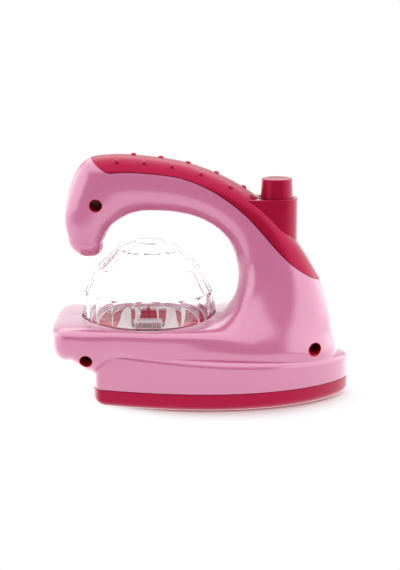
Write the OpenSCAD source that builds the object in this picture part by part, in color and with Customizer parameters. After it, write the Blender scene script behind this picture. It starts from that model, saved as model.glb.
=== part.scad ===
// Toy iron with a light dome: two housing halves, grip cover, push button, dome, sole and the works inside.
// Millimetres. +X points to the nose, +Z up. The origin is on the ground under the middle of the length.

/* [Sole] */
// Nose of the sole, ahead of the origin
sole_nose = 84.8; // [80:0.2:90]
// Rear edge of the sole, behind the origin
sole_rear = 61; // [57:0.5:65]
// Half width of the sole at its widest
sole_half_w = 44.6; // [42:0.2:48]
// Half width of the sole at its rear corners
sole_rear_half_w = 32.6; // [31:0.2:36]
// Height of the seam between the sole and the shells
sole_h = 9.8; // [9:0.1:10.8]
// Radius of the sole's lower edge
sole_edge_r = 4.7; // [3.5:0.1:6]

/* [Housing] */
// Wall of the mouldings
wall = 2.2; // [1.8:0.1:2.6]
// Top of the handle
handle_top = 137.8; // [130:0.2:146]
// Depth of the handle at its top
handle_depth = 32.4; // [30:0.2:35]
// Half width of the handle
handle_half_w = 14.2; // [13.4:0.1:15.6]
// Rear of the hook, behind the origin
hook_rear = 77.2; // [73:0.2:82]
// Drop of the hook's tip below the top of the handle
hook_drop = 58.5; // [55:0.5:63]
// Inner face of the column, ahead of the origin
column_inner = 20.6; // [18:0.2:22]
// Front of the housing just above the sole
nose_front = 77.5; // [75:0.2:79]
// Top of the shelf that carries the dome
shelf_top = 46; // [44:0.2:49]
// Half width of the shelf
shelf_half_w = 42.4; // [41:0.1:45]
// Rear end of the shelf, behind the origin
shelf_rear = 84.8; // [82:0.2:90]
// Underside of the overhang behind the sole
overhang_z = 21.5; // [20:0.1:23]
// Top of the skirt above the sole, near its rear end
skirt_top = 32.8; // [31:0.2:34.6]
// Fall of the skirt's top towards the nose
skirt_slope = 0.086; // [0.076:0.002:0.096]
// Radius of the skirt's top edge
skirt_edge_r = 4; // [3:0.1:5]

/* [Grip cover] */
// Place along the housing where the cover starts, counted in stations
cover_start = 3.31; // [3.2:0.01:3.4]
// Place along the housing where the cover's tail ends
cover_end = 10.52; // [10.3:0.01:10.7]
// Half angle of the cover over the handle
cover_angle = 65; // [60:1:68]
// Half angle of the cover at the button
cover_wide_angle = 78; // [74:1:80]
// Radius of a grip nub
nub_r = 1.8; // [1.4:0.1:2.2]
// Height of a grip nub
nub_h = 1.1; // [0.8:0.1:1.4]

/* [Button] */
// Axis of the button, ahead of the origin
button_x = 43.4; // [42.4:0.2:44.4]
// Rim of the tower round the button, below the top of the handle
tower_drop = 24.5; // [23:0.1:26.5]
// Outer radius of the tower
tower_r = 11.8; // [11.5:0.1:12.4]
// Radius of the button at the rim
button_r = 9.3; // [8.9:0.1:9.5]
// Height of the button above the rim
button_proud = 11; // [9:0.2:12]
// How far the button can be pressed
button_travel = 3; // [2:0.1:3.4]
// Curls of the button's spring
button_spring_turns = 6; // [4:1:7]

/* [Dome] */
// Axis of the dome, behind the origin
dome_back = 29.2; // [28:0.2:30.4]
// Radius of the dome's foot, across the middles of the panels
dome_r = 37.6; // [36:0.2:38.2]
// Height of the dome above its seat
dome_h = 45.3; // [42:0.2:47]
// Depth of the seat below the top of the shelf
seat_depth = 2.8; // [2.4:0.1:3.4]
// Panels round the dome, an even number
dome_panels = 18; // [16:2:20]
// Radius of the smooth inside of the dome
dome_inside_r = 35.2; // [33.8:0.1:35.4]

/* [Works] */
// Diameter of a battery cell
cell_d = 14.2; // [13.8:0.1:14.4]
// Length of a battery cell
cell_l = 50.5; // [49.5:0.1:51]
// Diameter of the speaker
speaker_d = 36; // [32:0.5:37]
// Axis of the speaker, ahead of the origin
speaker_x = 44; // [43:0.2:46]
// Diameter of a screw recess in the near shell
recess_d = 7; // [6.4:0.1:7.2]
// Diameter of a screw's thread
screw_d = 2.6; // [2.3:0.1:2.8]
// Clearance between fixed pieces
fit = 0.25; // [0.2:0.01:0.3]
// Radial clearance of the button and the plunger in their guides
slide_fit = 0.1; // [0.06:0.01:0.1]

/* [Hidden] */
dome_x = -dome_back;
seat_z = shelf_top - seat_depth;
lip_t = 1.4;
lip_h = 2.5;
seam = 0.2;
part_gap = 0.05;
outer_sides = 24;
outer_steps = 3;
inner_sides = 16;
inner_steps = 2;
round_fn = 48;
bead_fn = 16;

shell_pink = [0.93, 0.66, 0.79];
crimson = [0.77, 0.13, 0.31];
clear_pink = [0.97, 0.93, 0.95, 0.4];
white = [0.95, 0.94, 0.94];
steel = [0.72, 0.73, 0.75];
board_green = [0.16, 0.42, 0.26];
black = [0.12, 0.12, 0.13];
red = [0.8, 0.1, 0.12];

// Stations of the housing, from the hook's tip over the handle and down the column to the shelf's rear:
// outer x and z, inner x and z, half width, exponents of the outer and inner half, place of the widest line
under = handle_top - handle_depth;
tower_top = handle_top - tower_drop;
room = sole_nose + shelf_rear + handle_top;
gap_h = under - shelf_top;
spread = shelf_half_w - handle_half_w;
belly_z = sole_h + 1.2;
function up(f) = shelf_top + gap_h * f;
function broad(f) = handle_half_w + spread * f;
stations = [
    [1.9 - hook_rear, handle_top - 48.5, 22.6 - hook_rear, handle_top - 49.5, handle_half_w - 2.2, 2.3, 2.3, 0.5],
    [-hook_rear, handle_top - 36, 27 - hook_rear, handle_top - 41.5, handle_half_w - 1.2, 2.3, 2.3, 0.5],
    [3.2 - hook_rear, handle_top - 19, 32.7 - hook_rear, under - 4.3, handle_half_w - 0.6, 2.3, 2.3, 0.5],
    [11.7 - hook_rear, handle_top - 3.7, 39.2 - hook_rear, under - 1.3, handle_half_w - 0.2, 2.3, 2.3, 0.5],
    [27.2 - hook_rear, handle_top, 46.2 - hook_rear, under, handle_half_w, 2.3, 2.3, 0.5],
    [-29, handle_top - 1, -23, under, handle_half_w, 2.3, 2.3, 0.5],
    [-8, handle_top - 4.5, -13, under - 0.9, handle_half_w + 0.2, 2.3, 2.3, 0.5],
    [14, handle_top - 12.7, column_inner - 22.6, under - 3.6, handle_half_w + 0.6, 2.3, 2.3, 0.5],
    [nose_front - 43, handle_top - 25.4, column_inner - 12.1, under - 9.2, handle_half_w + 1.4, 2.3, 2.3, 0.49],
    [nose_front - 26, up(0.827), column_inner - 4.8, up(0.714), broad(0.1), 2.2, 2.3, 0.46],
    [nose_front - 13.5, up(0.519), column_inner - 0.8, up(0.535), broad(0.19), 2.1, 2.3, 0.42],
    [nose_front - 5.7, up(0.19), column_inner, up(0.35), broad(0.33), 2, 2.4, 0.38],
    [nose_front - 1.2, shelf_top - 8.2, column_inner - 3.4, up(0.162), broad(0.525), 1.9, 2.8, 0.35],
    [nose_front, shelf_top - 26.2, column_inner - 11.1, shelf_top + 2.2, broad(0.755), 2, 3.6, 0.33],
    [nose_front - 23.5, belly_z + 1, column_inner - 21.6, shelf_top + 0.3, broad(0.915), 2.2, 4.8, 0.32],
    [14, belly_z, -13, shelf_top, shelf_half_w - 0.2, 2.4, 5.2, 0.32],
    [-20, belly_z + 0.5, -28, shelf_top, shelf_half_w, 2.1, 5.2, 0.32],
    [38.8 - shelf_rear, overhang_z - 8.5, 38.8 - shelf_rear, shelf_top, shelf_half_w - 1.2, 1.6, 5.2, 0.3],
    [24.8 - shelf_rear, overhang_z - 8, 24.8 - shelf_rear, shelf_top, shelf_half_w - 2.2, 2.4, 5, 0.33],
    [12.8 - shelf_rear, overhang_z, 12.8 - shelf_rear, shelf_top, shelf_half_w - 3.6, 2.6, 4.5, 0.37]
];
hook_tip = [13.6 - hook_rear, handle_top - hook_drop];
rear_end = [-shelf_rear, shelf_top - 9];
last = len(stations) - 1;

// Curve through four neighbouring stations, and the station beyond either end
function curve(a, b, c, d, t) =
    (b * 2 + (c - a) * t + (a * 2 - b * 5 + c * 4 - d) * t * t + (b * 3 - a - c * 3 + d) * t * t * t) / 2;
function beyond(p, q) = [for (k = [0:7]) k < 4 ? 2 * p[k] - q[k] : p[k]];
function station(i) =
    i < 0 ? beyond(stations[0], stations[1])
    : i > last ? beyond(stations[last], stations[last - 1])
    : stations[i];
function along(t) =
    let (i = min(floor(t), last - 1))
    curve(station(i - 1), station(i), station(i + 1), station(i + 2), t - i);

// Cross section at place t, set in from the outer face: centre, outer arm, inner arm, half width, exponents
function section(t, inset) =
    let (
        s = along(t),
        o = [s[0], s[1]],
        i = [s[2], s[3]],
        m = i + (o - i) * s[7]
    )
    [m, (o - m) * (1 - inset / norm(o - m)), (m - i) * (1 - inset / norm(m - i)), s[4] - inset, s[5], s[6]];
function rounded_end(s, tip, inset, a, k) =
    let (
        grow = pow(sin(a), 2 / k),
        shrink = pow(cos(a), 2 / k),
        reach = (tip - s[0]) * (1 - inset / norm(tip - s[0]))
    )
    [s[0] + reach * grow, s[1] * shrink, s[2] * shrink, s[3] * shrink, s[4], s[5]];
// Point of a section at an angle from its outer crest, positive on the near side
function at_angle(s, a) =
    let (
        c = cos(a),
        e = c >= 0 ? s[4] : s[5],
        far = pow(abs(c), 2 / e),
        xz = s[0] + (c >= 0 ? s[1] * far : s[2] * -far),
        y = s[3] * pow(abs(sin(a)), 2 / e)
    )
    [xz[0], sin(a) >= 0 ? -y : y, xz[1]];
end_angles = [84, 70, 53, 35, 18];
function housing_sections(inset, steps) = concat(
    [for (a = end_angles) rounded_end(section(0, inset), hook_tip, inset, a, 2.1)],
    [for (j = [0:last * steps]) section(j / steps, inset)],
    [for (j = [len(end_angles) - 1:-1:0]) rounded_end(section(last, inset), rear_end, inset, end_angles[j], 2.8)]
);
function ring_of(s, sides) = [for (k = [0:sides - 1]) at_angle(s, -k * 360 / sides)];

// Solid between rings of equally many points, with flat ends
module skin(rings) {
    n = len(rings[0]);
    m = len(rings);
    points = [for (r = rings) for (p = r) p];
    sides = [
        for (j = [0:m - 2]) for (k = [0:n - 1])
        let (a = j * n + k, b = j * n + (k + 1) % n)
        each [[a, b, b + n], [a, b + n, a + n]]
    ];
    ends = [[for (k = [n - 1:-1:0]) k], [for (k = [0:n - 1]) (m - 1) * n + k]];
    polyhedron(points = points, faces = concat(sides, ends), convexity = 12);
}

module housing_form(inset, steps, sides) {
    skin([for (s = housing_sections(inset, steps)) ring_of(s, sides)]);
}

// Plan of the sole: half width at x for a plan set in all round
plan_mid = 3;
corner_r = 7;
function plan_w(x, inset) =
    let (
        u = (plan_mid - x) / (plan_mid + sole_rear - inset),
        v = (x - plan_mid) / (sole_nose - inset - plan_mid),
        rear_w = sole_rear_half_w - inset,
        wide = sole_half_w - inset
    )
    x < plan_mid ? wide - (wide - rear_w) * pow(min(u, 1), 1.8) : wide * pow(max(1 - pow(v, 2.1), 0), 0.68);
function half_plan(inset) =
    let (
        corner = corner_r - sole_rear + inset,
        nose = sole_nose - inset
    )
    concat(
        [for (a = [0:15:75]) let (x = corner - corner_r * pow(cos(a), 2 / 3))
            [x, min(plan_w(x, inset), plan_w(corner, inset)) * pow(sin(a), 2 / 3)]],
        [for (b = [0:5:85]) let (x = corner + (nose - corner) * sin(b)) [x, plan_w(x, inset)]],
        [[nose, 0]]
    );
// Whole outline: near side from rear to nose, then the far side back
function outline(inset) =
    let (h = half_plan(inset), n = len(h))
    concat([for (p = h) [p[0], -p[1]]], [for (k = [n - 2:-1:1]) h[k]]);
module plan_shape(inset) {
    polygon(outline(inset));
}
skirt_bend = 0.00017;
function skirt_z(x) =
    let (r = 11, over = min(max((r - sole_rear - x) / r, 0), 1))
    skirt_top - skirt_slope * (x + 50) + skirt_bend * pow(x + 50, 2) - r * (1 - sqrt(1 - over * over));

// Skirt of the shells above the sole, its top following skirt_z
module skirt_form(inset, bottom) {
    rims = [for (a = [0:30:90]) [inset + skirt_edge_r * (1 - cos(a)), skirt_edge_r * (1 - sin(a)) + inset]];
    base = outline(inset);
    n = len(base);
    half = (n + 2) / 2;
    levels = concat(
        [[for (p = base) [p[0], p[1], bottom]]],
        [for (r = rims) let (o = outline(r[0])) [for (k = [0:n - 1]) [o[k][0], o[k][1], skirt_z(base[k][0]) - r[1]]]]
    );
    top = (len(levels) - 1) * n;
    sides = [
        for (j = [0:len(levels) - 2]) for (k = [0:n - 1])
        let (a = j * n + k, b = j * n + (k + 1) % n)
        each [[b, a, b + n], [b + n, a, a + n]]
    ];
    lid = [
        for (k = [0:half - 2])
        let (a = top + k, b = top + k + 1, c = top + (n - k - 1) % n, d = top + (n - k) % n)
        each concat(c == b ? [] : [[c, b, a]], d == a ? [] : [[d, c, a]])
    ];
    polyhedron(points = [for (l = levels) for (p = l) p], faces = concat([[for (k = [0:n - 1]) k]], sides, lid),
        convexity = 8);
}

module outer_form() {
    housing_form(0, outer_steps, outer_sides);
    skirt_form(0, sole_h + seam);
}

module inner_form() {
    housing_form(wall, inner_steps, inner_sides);
    skirt_form(wall, sole_h - 1);
}

// Half angle of the grip cover at place t
function cover_edge(t, from, to) =
    let (
        rise = min(max((t - from) / 0.44, 0), 1),
        fall = min(max((t - 8.2) / (to - 8.2), 0), 1),
        s = min(max((t - 5.8) / 2.4, 0), 1),
        plateau = cover_angle + (cover_wide_angle - cover_angle) * s * s * (3 - 2 * s)
    )
    plateau * pow(1 - pow(1 - rise, 3.2), 1 / 3.2) * pow(1 - pow(fall, 2.5), 0.4);
function cover_places(from, to) = concat(
    [from + 0.02, from + 0.06, from + 0.14, from + 0.28],
    [for (t = [3.7:0.3:9.7]) t],
    [to - 0.5, to - 0.3, to - 0.16, to - 0.07, to - 0.02]
);
arc_steps = 9;
function arc_at(s, a) = [for (k = [-arc_steps:arc_steps]) at_angle(s, -a * k / arc_steps)];
function back_arc(s, a) = [for (k = [arc_steps:-1:-arc_steps]) at_angle(s, -a * k / arc_steps)];

// Opening in the shells for the cover, from well outside to below the wall
module cover_cut() {
    spare = fit / handle_half_w * 57.3;
    skin([
        for (t = cover_places(cover_start - 0.02, cover_end + 0.015))
        let (a = cover_edge(t, cover_start - 0.02, cover_end + 0.015) + spare)
        concat(arc_at(section(t, -3), a), back_arc(section(t, wall + 2), a))
    ]);
}

// Cover with a ledge that reaches under the shells' edge
module cover_form() {
    ledge = wall + fit;
    skin([
        for (t = cover_places(cover_start, cover_end))
        let (
            a = cover_edge(t, cover_start, cover_end),
            b = a + 7,
            low = section(t, ledge),
            floor = section(t, ledge + 1.2)
        )
        concat(
            arc_at(section(t, 0), a),
            [at_angle(low, -a), at_angle(low, -b)],
            back_arc(floor, b),
            [at_angle(low, b), at_angle(low, a)]
        )
    ]);
}

// Round bar along Y between two places
module bar_y(x, z, r, y0, y1, sides = 16) {
    translate([x, y1, z])
        rotate([90, 0, 0])
            cylinder(r = r, h = y1 - y0, $fn = sides);
}

// Screws that hold the shells together: x and z of each axis
shell_screw_at = [
    [18.9 - hook_rear, handle_top - 27.3],
    [21.6 - shelf_rear, overhang_z + 5.6],
    [nose_front - 13.1, shelf_top - 15.4]
];
recess_r = recess_d / 2;
hole_r = screw_d / 2 + 0.2;
pilot_r = screw_d / 2 + 0.05;
screw_seat_y = 5;
boss_depth = 8;
far = 60;
// Directions of the two ribs at each post
post_ribs = [[[-12, 4], [0, 16]], [[-10, 6], [12, -2]], [[9, 6], [-4, 14]]];

// Posts for the sole's screws, beside the skirt
sole_screw_x = [-0.7 * sole_rear, 0.5 * sole_nose];
sole_post_in = 10.5;
sole_post_r = 3.4;
sole_post_z = 3.2;
sole_post_top = 20;
function sole_screw_y(x) = plan_w(x, 0) - sole_post_in;

// Seat ring for the dome
spigot_r = dome_inside_r + 0.6;
seat_ring_t = 3.8;
seat_ring_r = dome_r + 2.4;

module posts(side) {
    for (i = [0:2]) {
        p = shell_screw_at[i];
        bar_y(p[0], p[1], recess_r + 1.8, side < 0 ? -far : part_gap, side < 0 ? -part_gap : far);
        for (d = post_ribs[i])
            hull() {
                bar_y(p[0], p[1], 0.8, side < 0 ? -far : boss_depth, side < 0 ? -boss_depth : far, 8);
                bar_y(p[0] + d[0], p[1] + d[1], 0.6, side < 0 ? -far : boss_depth, side < 0 ? -boss_depth : far, 8);
            }
    }
    for (x = sole_screw_x) {
        y = sole_screw_y(x);
        translate([x, side * y, sole_post_z])
            cylinder(r = sole_post_r, h = sole_post_top - sole_post_z, $fn = 16);
        for (dx = [-6, 6])
            hull() {
                translate([x, side * y, sole_h + lip_h + 1])
                    cylinder(r = 0.8, h = sole_post_top - sole_h - lip_h - 1, $fn = 8);
                translate([x + dx, side * (y + sole_post_in), sole_h + lip_h + 1])
                    cylinder(r = 0.8, h = sole_post_top - sole_h - lip_h - 1, $fn = 8);
            }
    }
}

module seat_ring() {
    translate([dome_x, 0, seat_z - seat_ring_t])
        cylinder(r = seat_ring_r, h = seat_ring_t, $fn = round_fn);
}

module shell(side) {
    color(shell_pink)
    difference() {
        intersection() {
            outer_form();
            translate([-room, side < 0 ? -room : part_gap, 0])
                cube([2 * room, room - part_gap, room]);
            union() {
                difference() {
                    translate([-room, -room, 0])
                        cube([2 * room, 2 * room, room]);
                    inner_form();
                }
                posts(side);
                seat_ring();
            }
        }
        cover_cut();
        translate([dome_x, 0, seat_z])
            cylinder(r = dome_r / cos(180 / dome_panels) + fit, h = 30, $fn = 60);
        translate([dome_x, 0, seat_z - 10])
            cylinder(r = spigot_r + fit, h = 30, $fn = round_fn);
        for (p = shell_screw_at)
            if (side < 0) {
                bar_y(p[0], p[1], recess_r, -far, -screw_seat_y, 24);
                bar_y(p[0], p[1], hole_r, -far, far, 12);
            } else {
                bar_y(p[0], p[1], pilot_r, -1, boss_depth, 12);
            }
        for (x = sole_screw_x)
            translate([x, side * sole_screw_y(x), 0])
                cylinder(r = pilot_r, h = sole_post_top - 3, $fn = 12);
        for (x = [-tray_screw_r, tray_screw_r])
            for (y = [-1, 1])
                translate([dome_x + x * 0.707, y * tray_screw_r * 0.707, seat_z - 10])
                    cylinder(r = pilot_r, h = 9.2, $fn = 12);
    }
}

module left_shell() {
    shell(-1);
}

module right_shell() {
    shell(1);
}

// Screw along Z with its head's underside at the origin, thread pointing up
module screw(length, head_r, head_h) {
    translate([0, 0, -head_h])
        difference() {
            cylinder(r = head_r, h = head_h, $fn = 24);
            for (a = [0, 90])
                rotate([0, 0, a])
                    translate([-head_r * 0.7, -0.35, -0.1])
                        cube([head_r * 1.4, 0.7, 0.9]);
        }
    cylinder(r = screw_d / 2, h = length - 1.5, $fn = 16);
    translate([0, 0, length - 1.5])
        cylinder(r1 = screw_d / 2, r2 = 0.3, h = 1.5, $fn = 16);
}

module shell_screws() {
    color(steel)
    for (p = shell_screw_at)
        translate([p[0], -screw_seat_y, p[1]])
            rotate([-90, 0, 0])
                screw(screw_seat_y + boss_depth - 1, recess_r - 0.6, 2);
}

// Grip cover: lofted skin, nubs in three rows, and the tower that guides the button
rim_h = 8.7;
guide_r = tower_r - 1.2;
button_flange_t = 2.5;
bore_r = button_r + slide_fit;
board_t = 1.6;
board_clear = 2;
spring_l = 19.9;
block_l = 17;
block_ledge_l = 30;
block_ledge_h = 6;
flange_top = tower_top - rim_h - seam;
switch_board_z = flange_top - button_flange_t - spring_l;
ear_at = [-9.6, 8.2];
ear_r = 2.6;
nub_places = [for (k = [0:4]) 4.6 + 0.73 * k];
nub_side_places = [for (k = [0:4]) 4.07 + 0.79 * k];
nub_side_angle = 38;

module nub(t, a) {
    s = section(t, 0);
    p = at_angle(s, a);
    out = p - [s[0][0], 0, s[0][1]];
    r = (nub_r * nub_r + nub_h * nub_h) / (2 * nub_h);
    translate(p + out * (nub_h - r) / norm(out))
        sphere(r = r, $fn = bead_fn);
}

module grip_cover() {
    color(crimson)
    difference() {
        union() {
            cover_form();
            translate([button_x, 0, switch_board_z + seam])
                cylinder(r = tower_r, h = tower_top - switch_board_z - seam, $fn = round_fn);
            for (s = [-1, 1])
                translate([button_x + ear_at[0], s * ear_at[1], switch_board_z + seam])
                    cylinder(r = ear_r, h = 12, $fn = 20);
            translate([button_x - block_l, -tower_r, tower_top - block_l])
                cube([block_l, 2 * tower_r, block_l]);
            translate([button_x - block_ledge_l, -tower_r, tower_top - block_ledge_h])
                cube([block_ledge_l, 2 * tower_r, block_ledge_h]);
            for (t = nub_places)
                nub(t, 0);
            for (t = nub_side_places)
                for (s = [-1, 1])
                    nub(t, s * nub_side_angle);
        }
        translate([button_x, 0, tower_top - rim_h - 1])
            cylinder(r = bore_r, h = rim_h + 2, $fn = round_fn);
        translate([button_x, 0, switch_board_z - 1])
            cylinder(r = guide_r, h = tower_top - rim_h - switch_board_z + 1, $fn = round_fn);
        for (s = [-1, 1])
            translate([button_x + ear_at[0], s * ear_at[1], switch_board_z - 1])
                cylinder(r = pilot_r, h = 9, $fn = 16);
        translate([button_x, 0, switch_board_z - board_t - board_clear])
            cylinder(r = tower_r + fit, h = board_t + board_clear + seam, $fn = round_fn);
    }
}

// Button: hollow cap with a flange that stops under the tower's lip and a stem on the switch plunger
flange_r = guide_r - slide_fit * 2;
stem_r = 2.5;
plunger_top = switch_board_z + 10;
button_top = tower_top + button_proud;

module button() {
    edge = 1.8;
    top_r = button_r - 0.6;
    inside_r = button_r - 2;
    color(crimson)
    translate([button_x, 0, 0])
        rotate_extrude($fn = round_fn)
            polygon(concat(
                [[0, plunger_top], [stem_r, plunger_top], [stem_r, button_top - 3], [inside_r, button_top - 3],
                 [inside_r, flange_top - button_flange_t], [flange_r, flange_top - button_flange_t],
                 [flange_r, flange_top], [button_r, flange_top], [button_r, tower_top]],
                [for (a = [0:22.5:90]) [top_r - edge + edge * cos(a), button_top - edge + edge * sin(a)]],
                [[top_r - edge - 1.5, button_top - 0.35], [0, button_top - 0.6]]
            ));
}

// Wound wire: one tube along a helix between two heights, its end curls closed up
module wound(r, wire_r, z0, z1, turns) {
    steps = 8;
    n = turns * steps;
    sides = 6;
    pitch_share = [for (k = [0:n]) let (u = k / n) u + 0.03 * sin(360 * u)];
    mid = [for (k = [0:n]) let (a = k * 360 / steps, z = z0 + wire_r + (z1 - z0 - 2 * wire_r) * pitch_share[k])
        [r * cos(a), r * sin(a), z]];
    skin([for (k = [0:n]) let (a = k * 360 / steps)
        [for (s = [0:sides - 1]) let (b = s * 360 / sides)
            mid[k] + wire_r * [cos(a) * cos(b), sin(a) * cos(b), sin(b)]]]);
    echo(least_gap = min([for (k = [0:n - steps]) norm(mid[k + steps] - mid[k])]) - 2 * wire_r);
}

button_spring_r = (button_r - 2 + flange_r) / 2;

module button_spring() {
    color(steel)
    translate([button_x, 0, 0])
        wound(button_spring_r, 0.4, switch_board_z, flange_top - button_flange_t, button_spring_turns);
}

// Switch under the button, on its own small board
switch_w = 8;
switch_h = 6;
plunger_r = 1.7;

module push_switch() {
    color(black)
    difference() {
        translate([button_x - switch_w / 2, -switch_w / 2, switch_board_z])
            cube([switch_w, switch_w, switch_h]);
        translate([button_x, 0, plunger_top - 5.3 - button_travel - 0.3])
            cylinder(r = plunger_r + slide_fit, h = 20, $fn = 24);
    }
}

module switch_plunger() {
    color(red)
    translate([button_x, 0, plunger_top - 5.3])
        cylinder(r = plunger_r, h = 5.3, $fn = 24);
}

module switch_board() {
    color(board_green)
    difference() {
        union() {
            translate([button_x, 0, switch_board_z - board_t])
                cylinder(r = tower_r, h = board_t, $fn = round_fn);
            translate([button_x + ear_at[0] - ear_r, -ear_at[1] - ear_r, switch_board_z - board_t])
                cube([-ear_at[0] + ear_r, 2 * (ear_at[1] + ear_r), board_t]);
        }
        for (s = [-1, 1])
            translate([button_x + ear_at[0], s * ear_at[1], 0])
                cylinder(r = hole_r, h = 200, $fn = 16);
    }
}

module switch_screws() {
    color(steel)
    for (s = [-1, 1])
        translate([button_x + ear_at[0], s * ear_at[1], switch_board_z - board_t])
            screw(board_t + 6, 2.2, 1.4);
}

// Dome: panels are flat faces that touch an egg form. Each row is given by its tilt and its distance from
// the centre of the foot; rows two by two meet in a low corner and a high corner.
half_step = 180 / dome_panels;
row_tilt = [3, 27.7, 48, 67];
egg_h = dome_h + 0.7;
function reach(tilt) = norm([(dome_r + 0.4) * cos(tilt), egg_h * sin(tilt)]);
row_reach = [dome_r * cos(row_tilt[0]), reach(row_tilt[1]) + 0.5, reach(row_tilt[2]), reach(row_tilt[3])];
// Corner in the plane between two faces of row i, or at the middle of one, and the same for row j
function corner(i, ci, j, cj, t = 0) =
    let (
        a = cos(row_tilt[i]) * ci,
        b = sin(row_tilt[i]),
        c = cos(row_tilt[j]) * cj,
        d = sin(row_tilt[j]),
        det = a * d - b * c
    )
    [((row_reach[i] - t) * d - b * (row_reach[j] - t)) / det, (a * (row_reach[j] - t) - c * (row_reach[i] - t)) / det];
function ring(count, first, p) =
    [for (k = [0:count - 1]) let (a = first - 90 + k * 360 / count) [p[0] * cos(a), p[0] * sin(a), p[1]]];

module dome_form() {
    n = dome_panels;
    h = n / 2;
    ch = cos(half_step);
    foot = ring(n, half_step, [row_reach[0] / cos(row_tilt[0]) / ch, 0]);
    low1 = ring(n, half_step, corner(0, ch, 1, 1));
    high1 = ring(n, 0, corner(0, 1, 1, ch));
    low2 = ring(n, 0, corner(1, ch, 2, 1));
    high2 = ring(n, half_step, corner(1, 1, 2, ch));
    low3 = ring(h, half_step, corner(2, ch, 3, 1));
    high3 = ring(h, 3 * half_step, corner(2, ch, 3, cos(2 * half_step)));
    cap_r = (row_reach[3] - sin(row_tilt[3]) * dome_h) / cos(row_tilt[3]) / cos(2 * half_step);
    cap = ring(h, 3 * half_step, [cap_r, dome_h]);
    points = concat(foot, low1, high1, low2, high2, low3, high3, cap);
    l1 = n;
    h1 = 2 * n;
    l2 = 3 * n;
    h2 = 4 * n;
    l3 = 5 * n;
    h3 = 5 * n + h;
    c = 5 * n + 2 * h;
    faces = concat(
        [[for (k = [0:n - 1]) k]],
        [for (k = [0:n - 1]) let (b = (k + n - 1) % n) [l1 + b, h1 + k, l1 + k, k, b]],
        [for (k = [0:n - 1]) let (f = (k + 1) % n) [h1 + k, l2 + k, h2 + k, l2 + f, h1 + f, l1 + k]],
        [for (m = [0:h - 1]) let (k = 2 * m) [h2 + (k + n - 1) % n, h3 + (m + h - 1) % h, l3 + m, h2 + k, l2 + k]],
        [for (m = [0:h - 1]) let (k = 2 * m + 1) [h2 + k - 1, l3 + m, h3 + m, h2 + k, l2 + k]],
        [for (m = [0:h - 1]) let (b = (m + h - 1) % h) [h3 + b, c + b, c + m, h3 + m, l3 + m]],
        [[for (m = [h - 1:-1:0]) c + m]]
    );
    polyhedron(points = points, faces = faces, convexity = 4);
}

// Radius of the smooth inside at height z, where it runs along row i
function inside(i, z) = (row_reach[i] - dome_wall - sin(row_tilt[i]) * z) / cos(row_tilt[i]);
spigot_t = 2.2;
spigot_h = 3.5;
dome_wall = dome_r - dome_inside_r;
dome_inside_h = dome_h - 2.3;

module dome() {
    color(clear_pink)
    translate([dome_x, 0, seat_z])
        difference() {
            union() {
                dome_form();
                translate([0, 0, -spigot_h])
                    cylinder(r = spigot_r, h = spigot_h + 1, $fn = 72);
            }
            rotate_extrude($fn = 72)
                polygon(concat(
                    [[0, -spigot_h - 1], [spigot_r - spigot_t, -spigot_h - 1], [spigot_r - spigot_t, 0.5]],
                    [[inside(0, 2), 2]],
                    [for (i = [0:2]) corner(i, 1, i + 1, 1, dome_wall)],
                    [[inside(3, dome_inside_h), dome_inside_h], [0, dome_inside_h]]
                ));
        }
}

// Tray under the dome: flange screwed up against the seat ring, dish, rim and a middle post for the lamp board
tray_t = 1.8;
tray_top = seat_z - seat_ring_t;
tray_rim_r = spigot_r - spigot_t - fit;
tray_screw_r = dome_r + 0.4;
tray_floor = tray_top - 5.4;
plate_t = 1.6;
plate_z = seat_z - 1.8;
lamp_board_t = 1.2;
lamp_board_r = 7;
lamp_board_z = tray_floor + tray_t + 2;
led_y = 5;

module dome_tray() {
    color(crimson)
    translate([dome_x, 0, 0])
        difference() {
            union() {
                translate([0, 0, tray_top - tray_t])
                    cylinder(r = spigot_r + 1, h = tray_t, $fn = 72);
                for (a = [45:90:315])
                    rotate([0, 0, a])
                        translate([tray_screw_r, 0, tray_top - tray_t])
                            cylinder(r = 3, h = tray_t, $fn = 24);
                translate([0, 0, tray_floor])
                    cylinder(r = tray_rim_r, h = plate_z - tray_floor, $fn = 72);
            }
            translate([0, 0, tray_floor + tray_t])
                cylinder(r = tray_rim_r - tray_t, h = 30, $fn = 72);
            for (a = [45:90:315])
                rotate([0, 0, a])
                    translate([tray_screw_r, 0, 0])
                        cylinder(r = hole_r, h = 100, $fn = 16);
        }
    color(crimson)
    translate([dome_x, led_y, tray_floor + tray_t / 2])
        cylinder(r = lamp_board_r - 2, h = lamp_board_z - tray_floor - tray_t / 2, $fn = 24);
}

module tray_screws() {
    color(steel)
    for (a = [45:90:315])
        translate([dome_x, 0, tray_top - tray_t])
            rotate([0, 0, a])
                translate([tray_screw_r, 0, 0])
                    screw(tray_t + seat_ring_t - 1.1, 2.4, 1.6);
}

// Plate over the tray, with two side windows and a slot in the middle
window_x = 18;
window_y = 8;
slot_w = 16;
slot_near = 20;
plate_rim = 3.2;

module lamp_plate() {
    plate_r = spigot_r - spigot_t - fit;
    color(white)
    translate([dome_x, 0, plate_z])
        difference() {
            cylinder(r = plate_r, h = plate_t, $fn = 72);
            translate([0, 0, -1])
                linear_extrude(plate_t + 2)
                    intersection() {
                        circle(r = plate_r - plate_rim, $fn = 72);
                        union() {
                            for (s = [-1, 1])
                                translate([s > 0 ? window_x : -window_x - plate_r, -window_y])
                                    square([plate_r, plate_r + window_y]);
                            translate([-slot_w / 2, -slot_near])
                                square([slot_w, plate_r + slot_near]);
                        }
                    }
        }
}

// Clear block on the near part of the plate, grooved in front and across its top
crystal_w = 13.8;
crystal_l = 10;
crystal_h = 5;
groove_r = 0.8;

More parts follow.
